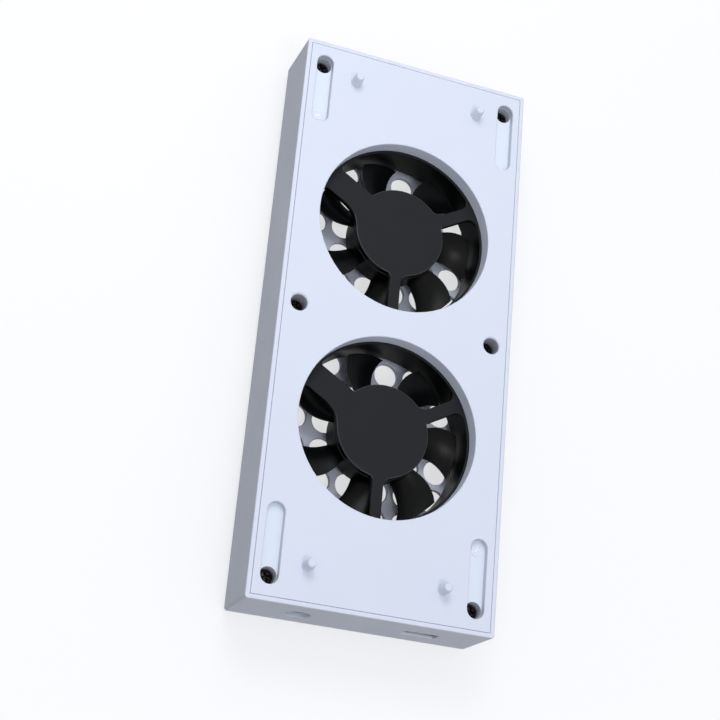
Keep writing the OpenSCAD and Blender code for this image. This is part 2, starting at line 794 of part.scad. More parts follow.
// Ends of the black leads, below (1) and beside (-1) the inlet's side contact
tab_z = port_z - 2.2;
tab_t = 0.4;
tab_w = 1.6;
function black_end(fan) = let (solder = lead_r + solder_gap,
        x = tab_x + (fan == 1 ? -lead_pitch / 2 : tab_w / 2 + solder),
        z = tab_z - (fan == 1 ? tab_t / 2 + solder : 0),
        turn = lane_turn(fan, x, black_z))
    concat(turn, [[x, turn[2][1] - lead_gap, z], [x, jack_back_y + tab_l / 2, z]]);

// Ends of the red leads, below (1) and above (-1) the switch's last terminal
function red_end(fan) = let (x = switch_x + terminal_pitch - fan * lead_pitch / 2,
        turn = lane_turn(fan, x, red_z), y = turn[2][1],
        z = port_z - fan * (terminal_w / 2 + lead_r + solder_gap))
    concat(turn, [[x, y - 2 * lead_pitch, z], [x, terminal_end_y - lead_pitch, z]]);

// Corners of the lead from the inlet's centre pin to the switch's middle terminal
inlet_route = let (y = jack_back_y + rib_gap + rib_t, x = jack_w / 2 + 2 * rib_t - inlet_x) [
    [jack_pin_r + solder_gap - inlet_x, y, port_z],
    [x, y, port_z],
    [x + lead_pitch, y, red_z],
    [switch_x - 3 * lead_pitch, y, red_z],
    [switch_x, (y + terminal_end_y) / 2, red_z + lead_pitch],
    [switch_x, terminal_end_y + 2 * lead_pitch, port_z],
    [switch_x, terminal_end_y + solder_gap, port_z]];

module rear_lead(z, offset, end, shade) {
    lead(concat(fan_route(1, offset, z), boss_route(z), end), shade);
}

module front_lead(z, offset, end, shade) {
    lead(concat(fan_route(-1, offset, z), end), shade);
}

// Body of the power inlet, with its bore towards the front wall
module inlet_body() {
    color("#232326") difference() {
        block([-inlet_x - jack_w / 2, port_y, jack_z], [-inlet_x + jack_w / 2, jack_back_y, jack_z + jack_w]);
        translate([-inlet_x, port_y + jack_bore_l, port_z]) rotate([90, 0, 0])
            cylinder(r = inlet_r - jack_step, h = jack_bore_l + 1);
        translate([-inlet_x, jack_back_y + 1, port_z]) rotate([90, 0, 0])
            cylinder(r = jack_pin_r, h = jack_l);
        block([tab_x - tab_w / 2, port_y + 4, tab_z - tab_t / 2], [tab_x + tab_w / 2, jack_back_y + 1, tab_z + tab_t / 2]);
    }
}

// Centre pin of the power inlet, with its solder end
module inlet_pin() {
    color(STEEL) {
        translate([-inlet_x, jack_back_y + tab_l, port_z]) rotate([90, 0, 0])
            cylinder(r = jack_pin_r, h = jack_l + tab_l - 4);
        translate([-inlet_x, port_y + 4, port_z]) rotate([90, 0, 0])
            cylinder(r1 = jack_pin_r, r2 = jack_pin_r * 0.5, h = 0.6);
    }
}

// Side contact of the power inlet, with its solder tab
module inlet_spring() {
    color(BRASS) block([tab_x - tab_w / 2, port_y + 4, tab_z - tab_t / 2],
        [tab_x + tab_w / 2, jack_back_y + tab_l, tab_z + tab_t / 2]);
}

// Folded steel shell of the switch, with a window for the knob
module switch_shell() {
    window_w = knob_w + knob_travel + 2 * knob_gap + 0.4;
    window_h = knob_h + 2 * knob_gap;
    color(STEEL) difference() {
        block([switch_x - shell_w / 2, port_y, port_z - shell_h / 2],
            [switch_x + shell_w / 2, port_y + shell_l, port_z + shell_h / 2]);
        block([switch_x - shell_w / 2 + shell_t, port_y + shell_t, port_z - shell_h / 2 + shell_t],
            [switch_x + shell_w / 2 - shell_t, port_y + shell_l + 1, port_z + shell_h / 2 - shell_t]);
        block([switch_x - window_w / 2, port_y - 1, port_z - window_h / 2],
            [switch_x + window_w / 2, port_y + 1, port_z + window_h / 2]);
    }
}

// Insulating base that closes the shell and holds the terminals
module switch_base() {
    color("#6a4630") difference() {
        block([switch_x - shell_w / 2 + shell_t, base_y, port_z - shell_h / 2 + shell_t],
            [switch_x + shell_w / 2 - shell_t, base_y + base_t, port_z + shell_h / 2 - shell_t]);
        for (k = [-1 : 1]) terminal(k);
    }
}

// Terminal k of the switch, from the contact face to the solder end
module terminal(k) {
    x = switch_x + k * terminal_pitch;
    block([x - terminal_w / 2, base_y - 0.3, port_z - terminal_w / 2],
        [x + terminal_w / 2, terminal_end_y, port_z + terminal_w / 2]);
}

module switch_terminals() {
    color(BRASS) for (k = [-1 : 1]) terminal(k);
}

// Knob in its rest place, with the carriage that slides inside the shell
module switch_knob() {
    front = port_y + shell_t + 0.15;
    color("#d8dce4") {
        block([knob_rest_x - knob_w / 2, front_y + knob_sunk, port_z - knob_h / 2],
            [knob_rest_x + knob_w / 2, front + TINY, port_z + knob_h / 2]);
        block([knob_rest_x - carriage_w / 2, front, port_z - carriage_h / 2],
            [knob_rest_x + carriage_w / 2, front + carriage_l, port_z + carriage_h / 2]);
    }
}

// Contact that the carriage pushes along the terminals
module switch_wiper() {
    back = port_y + shell_t + 0.15 + carriage_l;
    color(BRASS) {
        block([knob_rest_x - terminal_pitch / 2 - 0.6, back, port_z - 1.2],
            [knob_rest_x + terminal_pitch / 2 + 0.6, back + 0.3, port_z + 1.2]);
        for (sx = [-1, 1]) block([knob_rest_x + sx * terminal_pitch / 2 - 0.3, back, port_z - 0.8],
            [knob_rest_x + sx * terminal_pitch / 2 + 0.3, base_y - 0.45, port_z + 0.8]);
    }
}

housing();
cover();
case_screws();
rubber_feet();
at_fan(1) fan_frame();  // rear_fan_frame
at_fan(1) impeller();  // rear_impeller
at_fan(1) yoke();  // rear_yoke
at_fan(1) magnet();  // rear_magnet
at_fan(1) shaft();  // rear_shaft
at_fan(1) clip();  // rear_clip
at_fan(1) bearing();  // rear_bearing
at_fan(1) core();  // rear_core
at_fan(1) insulator();  // rear_insulator
at_fan(1) coils();  // rear_coils
at_fan(1) board();  // rear_board
at_fan(1) drive_chip();  // rear_drive_chip
rear_lead(black_z, lead_side, black_end(1), "#303030");  // rear_black_lead
rear_lead(red_z, -lead_side, red_end(1), "#b03030");  // rear_red_lead
at_fan(-1) fan_frame();  // front_fan_frame
at_fan(-1) rotate(front_phase) impeller();  // front_impeller
at_fan(-1) rotate(front_phase) yoke();  // front_yoke
at_fan(-1) rotate(front_phase) magnet();  // front_magnet
at_fan(-1) rotate(front_phase) shaft();  // front_shaft
at_fan(-1) rotate(front_phase) clip();  // front_clip
at_fan(-1) bearing();  // front_bearing
at_fan(-1) core();  // front_core
at_fan(-1) insulator();  // front_insulator
at_fan(-1) coils();  // front_coils
at_fan(-1) board();  // front_board
at_fan(-1) drive_chip();  // front_drive_chip
front_lead(black_z, lead_side, black_end(-1), "#303030");  // front_black_lead
front_lead(red_z, -lead_side, red_end(-1), "#b03030");  // front_red_lead
inlet_body();
inlet_pin();
inlet_spring();
lead(inlet_route, "#b03030");  // inlet_lead
switch_shell();
switch_base();
switch_terminals();
switch_knob();
switch_wiper();
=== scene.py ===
# %% [markdown]
# # A console cooling stand
# The part is a flat white case with two 50 mm fans under a cover with four pegs. Its CAD model
# gives every size and every joint. This lesson keeps those sizes and adds what the eye looks for:
# round edges, moulded surfaces, glossy blades and soft light. Each cell says what a piece is on the
# real object, how it could be made, and why this way was chosen.

# %% Load the CAD model as a fixed frame
import math

import bmesh
import bpy
from mathutils import Matrix, Vector


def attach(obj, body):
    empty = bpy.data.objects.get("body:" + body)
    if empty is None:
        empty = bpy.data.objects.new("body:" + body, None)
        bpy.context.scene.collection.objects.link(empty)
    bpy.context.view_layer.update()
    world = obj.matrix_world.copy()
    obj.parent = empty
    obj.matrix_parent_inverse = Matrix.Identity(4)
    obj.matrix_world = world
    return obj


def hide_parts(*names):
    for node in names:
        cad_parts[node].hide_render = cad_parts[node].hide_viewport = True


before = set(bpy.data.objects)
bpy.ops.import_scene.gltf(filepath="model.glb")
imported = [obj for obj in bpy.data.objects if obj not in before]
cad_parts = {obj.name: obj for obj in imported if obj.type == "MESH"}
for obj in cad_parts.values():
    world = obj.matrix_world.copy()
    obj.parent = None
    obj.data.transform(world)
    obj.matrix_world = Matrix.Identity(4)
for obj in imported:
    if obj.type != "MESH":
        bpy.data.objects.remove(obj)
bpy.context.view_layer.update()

# %% [markdown]
# ## The camera
# A photograph fixes the view before anything is modelled, because every later choice is judged
# through it. The place and the three directions below were found by matching the corners of the
# case with the CAD model, which is surer than turning a camera by eye. Blender's camera looks along
# its own -Z axis with +Y up, so two of the directions change their sign.

# %% Camera at the photograph's viewing angle
MM = 0.001
spot = Vector((-130.65, -159.7, 376.1)) * MM
right = Vector((0.93165236, 0.08613794, 0.35299312))
down = Vector((0.20479584, -0.92696471, -0.31431686))
camera_data = bpy.data.cameras.new("camera")
camera_data.lens = 77.86
camera_data.sensor_width = 36
camera_data.clip_start = 0.01
camera = bpy.data.objects.new("camera", camera_data)
bpy.context.scene.collection.objects.link(camera)
axes = Matrix((right, -down, -right.cross(down))).transposed()
camera.matrix_world = Matrix.Translation(spot) @ axes.to_4x4()
bpy.context.scene.camera = camera
print("camera looks along", [round(v, 3) for v in right.cross(down)])

# %% [markdown]
# ## Nodes and colours
# Colours are easy to read off a screen as hex values, but a renderer adds light in linear numbers,
# so one function turns the first into the second. A second small function adds a node with its
# settings and its links, which keeps each material to a few lines that can be read from top to
# bottom.

# %% Helpers for materials
def colour(code):
    """Linear RGBA of an sRGB hex colour such as #e2e7f0."""
    parts = [int(code[k:k + 2], 16) / 255 for k in (1, 3, 5)]
    return (*[v / 12.92 if v <= 0.04045 else ((v + 0.055) / 1.055) ** 2.4 for v in parts], 1)


def add_node(tree, kind, sockets, **settings):
    """Adds a ShaderNode. A socket takes a value, an output, or a node for its first output."""
    made = tree.nodes.new("ShaderNode" + kind)
    for key, value in settings.items():
        setattr(made, key, value)
    for key, value in sockets.items():
        if isinstance(value, bpy.types.Node):
            value = value.outputs[0]
        if isinstance(value, bpy.types.NodeSocket):
            tree.links.new(value, made.inputs[key])
        else:
            made.inputs[key].default_value = value
    return made


# %% [markdown]
# ## Surfaces
# Nearly every real surface has two things that a flat colour lacks: soft patches that differ a
# little, and a fine grain that breaks up its highlights. The recipe below makes both from noise on
# Object coordinates, so a pattern has a real size in millimetres and stays put from every side.
# Each material then differs only by its numbers, which come from what it is and how it was made.

# %% The recipe for a surface
def recipe(name, base, patch, patch_mm, grain_mm, depth_mm, rough, spread, level=0.5, **shader):
    """A material of two close colours in soft patches with a fine grain, and its main nodes."""
    material = bpy.data.materials.new(name)
    material.use_nodes = True
    tree = material.node_tree
    tree.nodes.clear()
    place = add_node(tree, "TexCoord", {})
    in_mm = add_node(tree, "Mapping", {
        "Vector": place.outputs["Object"], "Scale": (1 / MM, 1 / MM, 1 / MM)})
    patches = add_node(tree, "TexNoise", {
        "Vector": in_mm, "Scale": 1 / patch_mm, "Detail": 3, "Roughness": 0.6})
    grain = add_node(tree, "TexNoise", {
        "Vector": in_mm, "Scale": 1 / grain_mm, "Detail": 2, "Roughness": 0.5})
    tint = add_node(tree, "Mix", {
        "Factor": patches, 6: colour(base), 7: colour(patch)}, data_type="RGBA")
    dull = add_node(tree, "MapRange", {
        "Value": patches, "From Min": 0.3, "From Max": 0.7,
        "To Min": rough - spread, "To Max": rough + spread})
    bump = add_node(tree, "Bump", {"Height": grain, "Strength": 1, "Distance": depth_mm * MM})
    shell = add_node(tree, "BsdfPrincipled", {
        "Base Color": tint.outputs[2], "Roughness": dull, "Specular IOR Level": level,
        "Normal": bump, **shader})
    add_node(tree, "OutputMaterial", {"Surface": shell})
    return material, tree, in_mm, tint, bump, shell


def surface(*look, **shader):
    """A material from the recipe alone."""
    return recipe(*look, **shader)[0]


# %% [markdown]
# The case and its cover are white ABS, injection moulded in a lightly textured steel mould, which
# leaves a trace of blue in the white. The fans are black PBT. A mould is rarely finished the same
# everywhere: its broad faces are textured, its floors ground and its deep pins left as they are. So
# each plastic comes in several finishes here, and most of them differ by very little. Some also
# carry painted light: the walls of wells and recesses and the insides of the ducts are painted
# darker as shade, and thin edges and moulding marks are painted lighter as highlights. The real
# grain of a moulded face is about 0.05 mm, too fine to show here, so it is drawn at 0.25 mm.

# %% Plastics and rubber
# Each one gives two colours, the width of patches and of grain and the grain's depth in
# millimetres, the roughness, and how far that varies.
# The case, from a textured mould: satin, with a soft, wide sheen
white_abs = surface("white_abs_satin", "#dfe5f0", "#dbe1ed", 18, 0.25, 0.004, 0.42, 0.04, level=0.2)
# The fans' frames, from a dull mould: dark grey with hardly a highlight
frame_pbt = surface("black_pbt_matte", "#232426", "#1f2022", 8, 0.3, 0.01, 0.5, 0.02, level=0.12)
# Blades, from a polished mould: black that reflects
blade_pbt = surface("black_pbt_polished", "#0b0c0d", "#090a0b", 9, 0.4, 0.002, 0.3, 0.03,
                    level=0.11)
# Edges of frames and blades: thin lighter lines, painted highlights
edge_highlight_pbt = surface("black_pbt_painted_edge_highlight", "#333434", "#2c2d2d", 5, 0.3, 0.004, 0.36, 0.04,
                   level=0.35)
# Ducts and hubs: half polished with a faint sheen, and painted nearly black as shade
shaded_duct_pbt = surface("black_pbt_satin_painted_shade", "#070808", "#050606", 9, 0.4, 0.002, 0.42, 0.03, level=0.06)
# The middle wells: dull, and painted greyer than the face as shade
shaded_well_abs = surface("white_abs_dull_painted_shade", "#b2b4b8", "#aaacb1", 6, 0.25, 0.01, 0.6, 0.04,
                    level=0.15)
# Walls of the recesses and corner wells: fine grain, and painted greyer than the face as shade
shaded_wall_abs = surface("white_abs_fine_grain_painted_shade", "#cfd3da", "#c9cdd5", 3, 0.25, 0.002, 0.5, 0.03,
                   level=0.2)
# Floors of the recesses: glossier from a ground face, and a shade lighter than the face
smooth_abs = surface("white_abs_smooth", "#e4ecf6", "#e0e8f3", 12, 0.25, 0.002, 0.36, 0.03,
                     level=0.2)
# Where a moulding pin pressed the ABS: whiter spots, partly stress whitening and partly a painted
# highlight
gate_highlight_abs = surface("white_abs_stressed_painted_highlight", "#fbfcff", "#f6f8fc", 1, 0.2, 0.004, 0.3, 0.04, IOR=1.53)
# Feet, from a blasted mould: soft grey without a highlight
foot_rubber = surface("grey_silicone_rubber", "#8f949b", "#858a92", 3, 0.3, 0.02, 0.72, 0.06,
                      IOR=1.43)
# Small mouldings: nylon and acetal look a little waxy, and epoxy with filler is dull
jack_nylon = surface("black_nylon", "#1c1c1e", "#161617", 4, 0.25, 0.01, 0.45, 0.06, IOR=1.52)
knob_pom = surface("white_acetal", "#dfe3ea", "#d8dde6", 3, 0.2, 0.006, 0.38, 0.05, IOR=1.48)
clip_nylon = surface("natural_nylon", "#dcdcd2", "#d2d2c6", 2, 0.2, 0.006, 0.4, 0.05, IOR=1.52)
chip_epoxy = surface("moulded_epoxy", "#2b2b2e", "#242427", 1.5, 0.12, 0.008, 0.55, 0.05, IOR=1.55)
# Leads, drawn through a die: smooth, with a line of light along them
black_pvc = surface("black_pvc_insulation", "#1e1e20", "#18181a", 3, 0.2, 0.006, 0.35, 0.06,
                    IOR=1.53)
red_pvc = surface("red_pvc_insulation", "#a82a2a", "#982424", 3, 0.2, 0.006, 0.35, 0.06, IOR=1.53)
print("plastics:", len(bpy.data.materials), "materials so far")

# %% [markdown]
# The metals keep Blender's own index of refraction and are told apart by colour and roughness.
# Screws are steel with a black oxide, which is dark, slightly brown and half dull. A ground shaft
# shines, tin plate is softer, stamped brass is a warm yellow and a sintered bearing is grainy.
# Ferrite is a ceramic that looks like dark slate, and the insulators are half dull.

# %% Metals, ceramics and insulators
black_steel = surface("black_oxide_steel", "#2e2d2e", "#232223", 0.9, 0.12, 0.006, 0.36, 0.08,
                      Metallic=0.85)
ground_steel = surface("ground_steel", "#b9bbbe", "#aeb0b3", 2, 0.15, 0.003, 0.24, 0.06, Metallic=1)
plated_steel = surface("tin_plated_steel", "#bfc1c2", "#b0b2b4", 1.5, 0.2, 0.004, 0.32, 0.08,
                       Metallic=1)
brass = surface("stamped_brass", "#c9a95e", "#bb9a4f", 2, 0.2, 0.004, 0.3, 0.08, Metallic=1)
bronze = surface("sintered_bronze", "#a88458", "#8f6f48", 0.5, 0.15, 0.02, 0.5, 0.08, Metallic=1)
ferrite = surface("ferrite_ceramic", "#47433f", "#3c3936", 1.2, 0.2, 0.015, 0.62, 0.06, IOR=2.1)
cream_nylon = surface("cream_nylon", "#e6dfc9", "#dbd3bb", 3, 0.25, 0.008, 0.45, 0.05, IOR=1.52)
paper_laminate = surface("phenolic_paper_laminate", "#6d4a32", "#5d3e2a", 0.8, 0.15, 0.01, 0.5,
                         0.06, IOR=1.6)
print("with metals:", len(bpy.data.materials), "materials so far")

# %% [markdown]
# Three materials carry a pattern of their own. The coils are enamelled copper wire, so fine ridges
# 0.16 mm apart run across them. The stator core is a stack of steel sheets of 0.35 mm, which shows
# as level lines. The circuit board is green varnish over tracks, drawn as faint lines 0.8 mm apart.
# In each the pattern is a wave texture that goes into the bump and the colour.

# %% Wound copper, stacked steel and circuit board
def striped(parts, axis, pitch_mm, depth_mm, shade):
    """Adds lines across an axis, pitch_mm apart, to a surface's bump and colour."""
    material, tree, in_mm, tint, bump, shell = parts
    # A wave texture repeats every 2 pi / 20 units at a scale of 1
    lines = add_node(tree, "TexWave", {
        "Vector": in_mm, "Scale": math.pi / 10 / pitch_mm, "Distortion": 0.3}, bands_direction=axis)
    relief = add_node(tree, "Bump", {
        "Height": lines.outputs["Fac"], "Strength": 1, "Distance": depth_mm * MM, "Normal": bump})
    dark = add_node(tree, "Mix", {
        "Factor": lines.outputs["Fac"], 6: colour(shade), 7: tint.outputs[2]}, data_type="RGBA")
    tree.links.new(relief.outputs[0], shell.inputs["Normal"])
    tree.links.new(dark.outputs[2], shell.inputs["Base Color"])
    return material


copper = striped(recipe("enamelled_copper_wire", "#b8673b", "#a85930", 1.2, 0.2, 0.004, 0.3, 0.06,
                        Metallic=1), "DIAGONAL", 0.16, 0.03, "#7c3d20")
core_steel = striped(recipe("laminated_silicon_steel", "#8c9094", "#7f8387", 1.5, 0.2, 0.006, 0.4,
                            0.06, Metallic=1), "Z", 0.35, 0.02, "#54585c")
board_green = striped(recipe("solder_masked_board", "#2f6242", "#2a583b", 2, 0.2, 0.004, 0.35,
                             0.05, IOR=1.55), "X", 0.8, 0.015, "#3f7a53")
print("patterned:", copper.name, core_steel.name, board_green.name)

# %% [markdown]
# ## Tools for modelling
# Pieces are shaped in edit mode, where an operator acts on whatever is selected. So one tool starts
# editing with nothing selected, and one selects faces or edges by a test on their place or normal.
# Everything is drawn in millimetres, because those are the numbers on a drawing, and each piece is
# shrunk to metres when it is finished.

# %% Select, edit and apply
def only(piece):
    """Makes this the one selected and active object."""
    bpy.ops.object.select_all(action="DESELECT")
    piece.select_set(True)
    bpy.context.view_layer.objects.active = piece


def edit(piece):
    """Starts editing a piece with nothing selected."""
    only(piece)
    bpy.ops.object.mode_set(mode="EDIT")
    bpy.ops.mesh.select_all(action="DESELECT")


def leave():
    """Ends editing."""
    bpy.ops.object.mode_set(mode="OBJECT")


def pick(piece, kind, test):
    """Selects the verts, edges or faces of a piece in edit mode that pass the test."""
    bpy.ops.mesh.select_mode(type={"verts": "VERT", "edges": "EDGE", "faces": "FACE"}[kind])
    bpy.ops.mesh.select_all(action="DESELECT")
    mesh = bmesh.from_edit_mesh(piece.data)
    mesh.normal_update()
    chosen = [part for part in getattr(mesh, kind) if test(part)]
    for part in chosen:
        part.select_set(True)
    bmesh.update_edit_mesh(piece.data)
    return len(chosen)


def added():
    """The primitive that was just added, with its place, turn and scale in its mesh."""
    bpy.ops.object.transform_apply(location=True, rotation=True, scale=True)
    return bpy.context.object


def modify(piece, kind, **settings):
    """Adds a modifier to a piece and applies it."""
    only(piece)
    modifier = piece.modifiers.new(kind, kind)
    for key, value in settings.items():
        setattr(modifier, key, value)
    bpy.ops.object.modifier_apply(modifier=modifier.name)


# %% [markdown]
# Two starting shapes come up again and again: a block between two corners and an upright rod. A
# third is a lathe, for anything turned: half of its outline is drawn, and Spin takes it round the
# axis. The last rolls a grid into a tube, puts each row of its corners on one ring of points, and
# closes the ends. It makes towers of odd outlines, and later the blades.

# %% Starting shapes
WELD = 0.0005  # Corners closer than this many millimetres become one


def block(low, high):
    """A box between two opposite corners."""
    size = [b - a for a, b in zip(low, high)]
    middle = [a + s / 2 for a, s in zip(low, size)]
    bpy.ops.mesh.primitive_cube_add(size=1, location=middle, scale=size)
    return added()


def rod(radius, low, high, x=0, y=0, sides=48):
    """An upright cylinder between two heights."""
    bpy.ops.mesh.primitive_cylinder_add(vertices=sides, radius=radius, depth=high - low,
                                        location=(x, y, (low + high) / 2))
    return added()


def lathe(outline, x=0, y=0, steps=64):
    """Turns an outline of (radius, height) points, from the axis round to the axis, or closed."""
    bpy.ops.mesh.primitive_circle_add(vertices=len(outline), radius=1)
    piece = added()
    for corner, (r, z) in zip(piece.data.vertices, outline):
        corner.co = (x + r, y, z)
    edit(piece)
    # The line along the axis would only leave slivers
    if pick(piece, "edges", lambda e: all(abs(v.co.x - x) < 1e-6 for v in e.verts)):
        bpy.ops.mesh.delete(type="EDGE")
    bpy.ops.mesh.select_all(action="SELECT")
    bpy.ops.mesh.spin(steps=steps, angle=2 * math.pi, center=(x, y, 0), axis=(0, 0, 1))
    bpy.ops.mesh.select_all(action="SELECT")
    bpy.ops.mesh.remove_doubles(threshold=WELD)
    bpy.ops.mesh.normals_make_consistent(inside=False)
    leave()
    return piece


def rolled(rings):
    """A solid through rings of as many points each, given as [(x, y, z), ...]."""
    n = len(rings[0])
    bpy.ops.mesh.primitive_grid_add(x_subdivisions=n, y_subdivisions=len(rings) - 1, size=1)
    piece = added()
    for k, corner in enumerate(piece.data.vertices):
        corner.co = rings[k // (n + 1)][k % (n + 1) % n]
    edit(piece)
    bpy.ops.mesh.select_all(action="SELECT")
    bpy.ops.mesh.remove_doubles(threshold=WELD)
    bpy.ops.mesh.fill_holes(sides=0)
    bpy.ops.mesh.normals_make_consistent(inside=False)
    leave()
    return piece


def tower(floors):
    """An upright solid through outlines of as many points each: (height, [(x, y), ...])."""
    return rolled([[(x, y, z) for x, y in outline] for z, outline in floors])


# %% [markdown]
# Pieces are cut and joined with the Boolean modifier, the modeller's drill and glue. A sharp hole
# would look like paper, because every moulded edge is slightly round and catches a line of light.
# So most cutters here widen at their ends along a quarter circle, and the hole that they leave is
# round at its edges already. That is surer than bevelling the edges after the cut.

# %% Cut, add and copy
def combine(piece, tools, operation="DIFFERENCE"):
    """Cuts the tools out of a piece, or adds them to it."""
    tool = join(tools)
    modify(piece, "BOOLEAN", operation=operation, object=tool, solver="EXACT",
           use_self=operation == "UNION")
    bpy.data.objects.remove(tool)


def join(pieces):
    """Joins pieces into the first one."""
    bpy.ops.object.select_all(action="DESELECT")
    for piece in pieces:
        piece.select_set(True)
    bpy.context.view_layer.objects.active = pieces[0]
    if len(pieces) > 1:
        bpy.ops.object.join()
    return pieces[0]


def copy_to(piece, x=0, y=0, z=0, turn=0):
    """A copy of a piece with its own mesh, turned about Z and moved."""
    only(piece)
    bpy.ops.object.duplicate(linked=False)
    twin = bpy.context.object
    twin.rotation_euler = (0, 0, math.radians(turn))
    twin.location = (x, y, z)
    bpy.ops.object.transform_apply(location=True, rotation=True, scale=True)
    return twin


def flare(edge, steps=4):
    """Points of a quarter circle: (how far the hole has widened, how far below the face)."""
    return [(edge * (1 - math.cos(a)), edge * (1 - math.sin(a)))
            for a in [math.pi / 2 * k / steps for k in range(steps + 1)]]


def hole(radius, low, high, edge, x=0, y=0, steps=48, both=False):
    """A cutter for a round hole up to a face at height high, with a round edge there or on both."""
    top = [(radius + wide, high - deep) for wide, deep in flare(edge)]
    bottom = [(radius + wide, low + deep) for wide, deep in reversed(flare(edge))] if both else []
    end = [(radius + edge, low - 1), (0, low - 1)] if both else [(radius, low), (0, low)]
    start = [(0, high + 1), (radius + edge, high + 1)]
    return lathe([*start, *reversed(top), *reversed(bottom), *end], x, y, steps)


# %% [markdown]
# A finished piece gets smooth shading that stops at sharp edges, and weighted normals, which keep
# the large flat faces flat beside their round edges. Then it is shrunk to metres, gets its
# material, is put on the body that it rides on, and the CAD nodes that it stands for are hidden.
# Where one moulding has a second material, a finish or painted shade or highlight, the faces that
# have it are selected and assigned to a second slot.

# %% Finish a piece
def finish(piece, name, material, slot, body, *nodes):
    """Shades a piece, shrinks it to metres, gives it its material and body, and hides its CAD
    nodes.
    """
    edit(piece)
    bpy.ops.mesh.select_all(action="SELECT")
    bpy.ops.mesh.dissolve_limited(angle_limit=math.radians(0.3))
    leave()
    bpy.ops.object.shade_smooth_by_angle(angle=math.radians(38))
    modify(piece, "WEIGHTED_NORMAL", keep_sharp=True)
    piece.scale = (MM, MM, MM)
    only(piece)
    bpy.ops.object.transform_apply(location=True, rotation=True, scale=True)
    piece.name = piece.data.name = name
    piece.data.materials.clear()
    piece.data.materials.append(material)
    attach(piece, body)
    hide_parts(*nodes)
    print(name, len(piece.data.polygons), "faces")
    return piece


def refinish(piece, material, test):
    """Gives another material to the faces whose middle, in millimetres, passes the test."""
    piece.data.materials.append(material)
    edit(piece)
    chosen = pick(piece, "faces", lambda f: test(f.calc_center_median() / MM))
    piece.active_material_index = len(piece.data.materials) - 1
    bpy.ops.object.material_slot_assign()
    leave()
    print(piece.name, "has", chosen, "faces of", material.name)


# %% [markdown]
# ## The housing
# The housing is a deep tray, moulded in one piece. It could be built from five walls, but a solid
# block that is hollowed keeps its corners closed. The top face is inset to leave the rim, pushed
# down to make the ledge for the cover, then inset and pushed down again to the floor. The corners
# and the rim are bevelled last, because an inset would fold over a corner that is already round.

# %% Tray
case_w, case_l, case_z, face_z = 66, 157.4, 2, 20.4
half_w, half_l = case_w / 2, case_l / 2
rim_t, wall_t, cover_t, floor_z = 1.2, 2, 2.2, 3.5
ledge_z = face_z - cover_t
corner_r, rim_edge, lower_edge, seam_edge = 0.8, 0.32, 0.4, 0.05

housing = block((-half_w, -half_l, case_z), (half_w, half_l, face_z))
edit(housing)
pick(housing, "faces", lambda f: f.normal.z > 0.9)
for width, depth in ((rim_t, cover_t), (wall_t - rim_t, ledge_z - floor_z)):
    bpy.ops.mesh.inset(thickness=width)
    bpy.ops.mesh.extrude_region_move(TRANSFORM_OT_translate={"value": (0, 0, -depth)})
corners = pick(housing, "edges", lambda e: abs(e.verts[0].co.z - e.verts[1].co.z) > 1
               and all(abs(v.co.x) > half_w - 0.01 for v in e.verts))
bpy.ops.mesh.bevel(offset=corner_r, segments=6, affect="EDGES")


def outside(v):
    """Whether a corner of the mesh is on an outer wall or a rounded corner of the case."""
    return abs(v.co.x) > half_w - corner_r - 0.1 or abs(v.co.y) > half_l - corner_r - 0.1


def at_height(e, z):
    """Whether an edge lies level at a height."""
    return all(abs(v.co.z - z) < 0.001 for v in e.verts)


pick(housing, "edges", lambda e: at_height(e, face_z) and all(outside(v) for v in e.verts)
     and e.calc_face_angle(0) > 1)
bpy.ops.mesh.bevel(offset=rim_edge, segments=4, affect="EDGES")
pick(housing, "edges", lambda e: at_height(e, case_z) and e.calc_face_angle(0) > 1)
bpy.ops.mesh.bevel(offset=lower_edge, segments=3, affect="EDGES")
pick(housing, "edges", lambda e: at_height(e, face_z) and not any(outside(v) for v in e.verts)
     and e.calc_face_angle(0) > 1)
bpy.ops.mesh.bevel(offset=seam_edge, segments=2, affect="EDGES")
leave()
print("tray:", corners, "upright corners,", len(housing.data.polygons), "faces")

# %% [markdown]
# Inside stand the things that a closed case hides: bosses for the six screws, stepped posts that
# enter the holes of the fans' frames, and ribs round the power inlet and the switch. They are plain
# rods and blocks, added in one go.

# %% Bosses, posts and ribs
def four(x, y):
    """The four places at these distances from the middle."""
    return [(sx * x, sy * y) for sx in (-1, 1) for sy in (-1, 1)]


screw_x, screw_y, fan_y, fan_z, frame_hole = 27.4, 72.1, 28.7, 6.3, 20
boss_r, boss_top_z, post_r, pin_r, rib_t = 3.2, 13.8, 3, 1.95, 1.2
inlet_x, switch_x, port_y, port_z = -16.4, 16.5, -half_l + wall_t, 10.7
# Everything starts a little inside the floor or wall that it stands on
low, into_wall = floor_z - 0.3, 0.2
screws = [(sx * screw_x, sy * screw_y) for sx in (-1, 1) for sy in (-1, 0, 1)]
fittings = [rod(boss_r, low, boss_top_z, x, y) for x, y in screws]
# Ribs tie each boss to the walls beside it
for x, y in screws:
    far = math.copysign(half_w - wall_t + into_wall, x)
    fittings.append(block((min(x, far), y - rib_t / 2, low),
                          (max(x, far), y + rib_t / 2, boss_top_z)))
    if y:
        far = math.copysign(half_l - wall_t + into_wall, y)
        fittings.append(block((x - rib_t / 2, min(y, far), low),
                              (x + rib_t / 2, max(y, far), boss_top_z)))
for side in (-1, 1):
    for x, y in four(frame_hole, frame_hole):
        fittings += [rod(post_r, low, fan_z, x, side * fan_y + y),
                     rod(pin_r, fan_z - 0.1, fan_z + 4, x, side * fan_y + y)]


def beside(x, gap, inner, top):
    """Ribs on both sides of a place, as (left, right, inner end, top)."""
    return [(x - gap - rib_t, x - gap, inner, top), (x + gap, x + gap + rib_t, inner, top)]


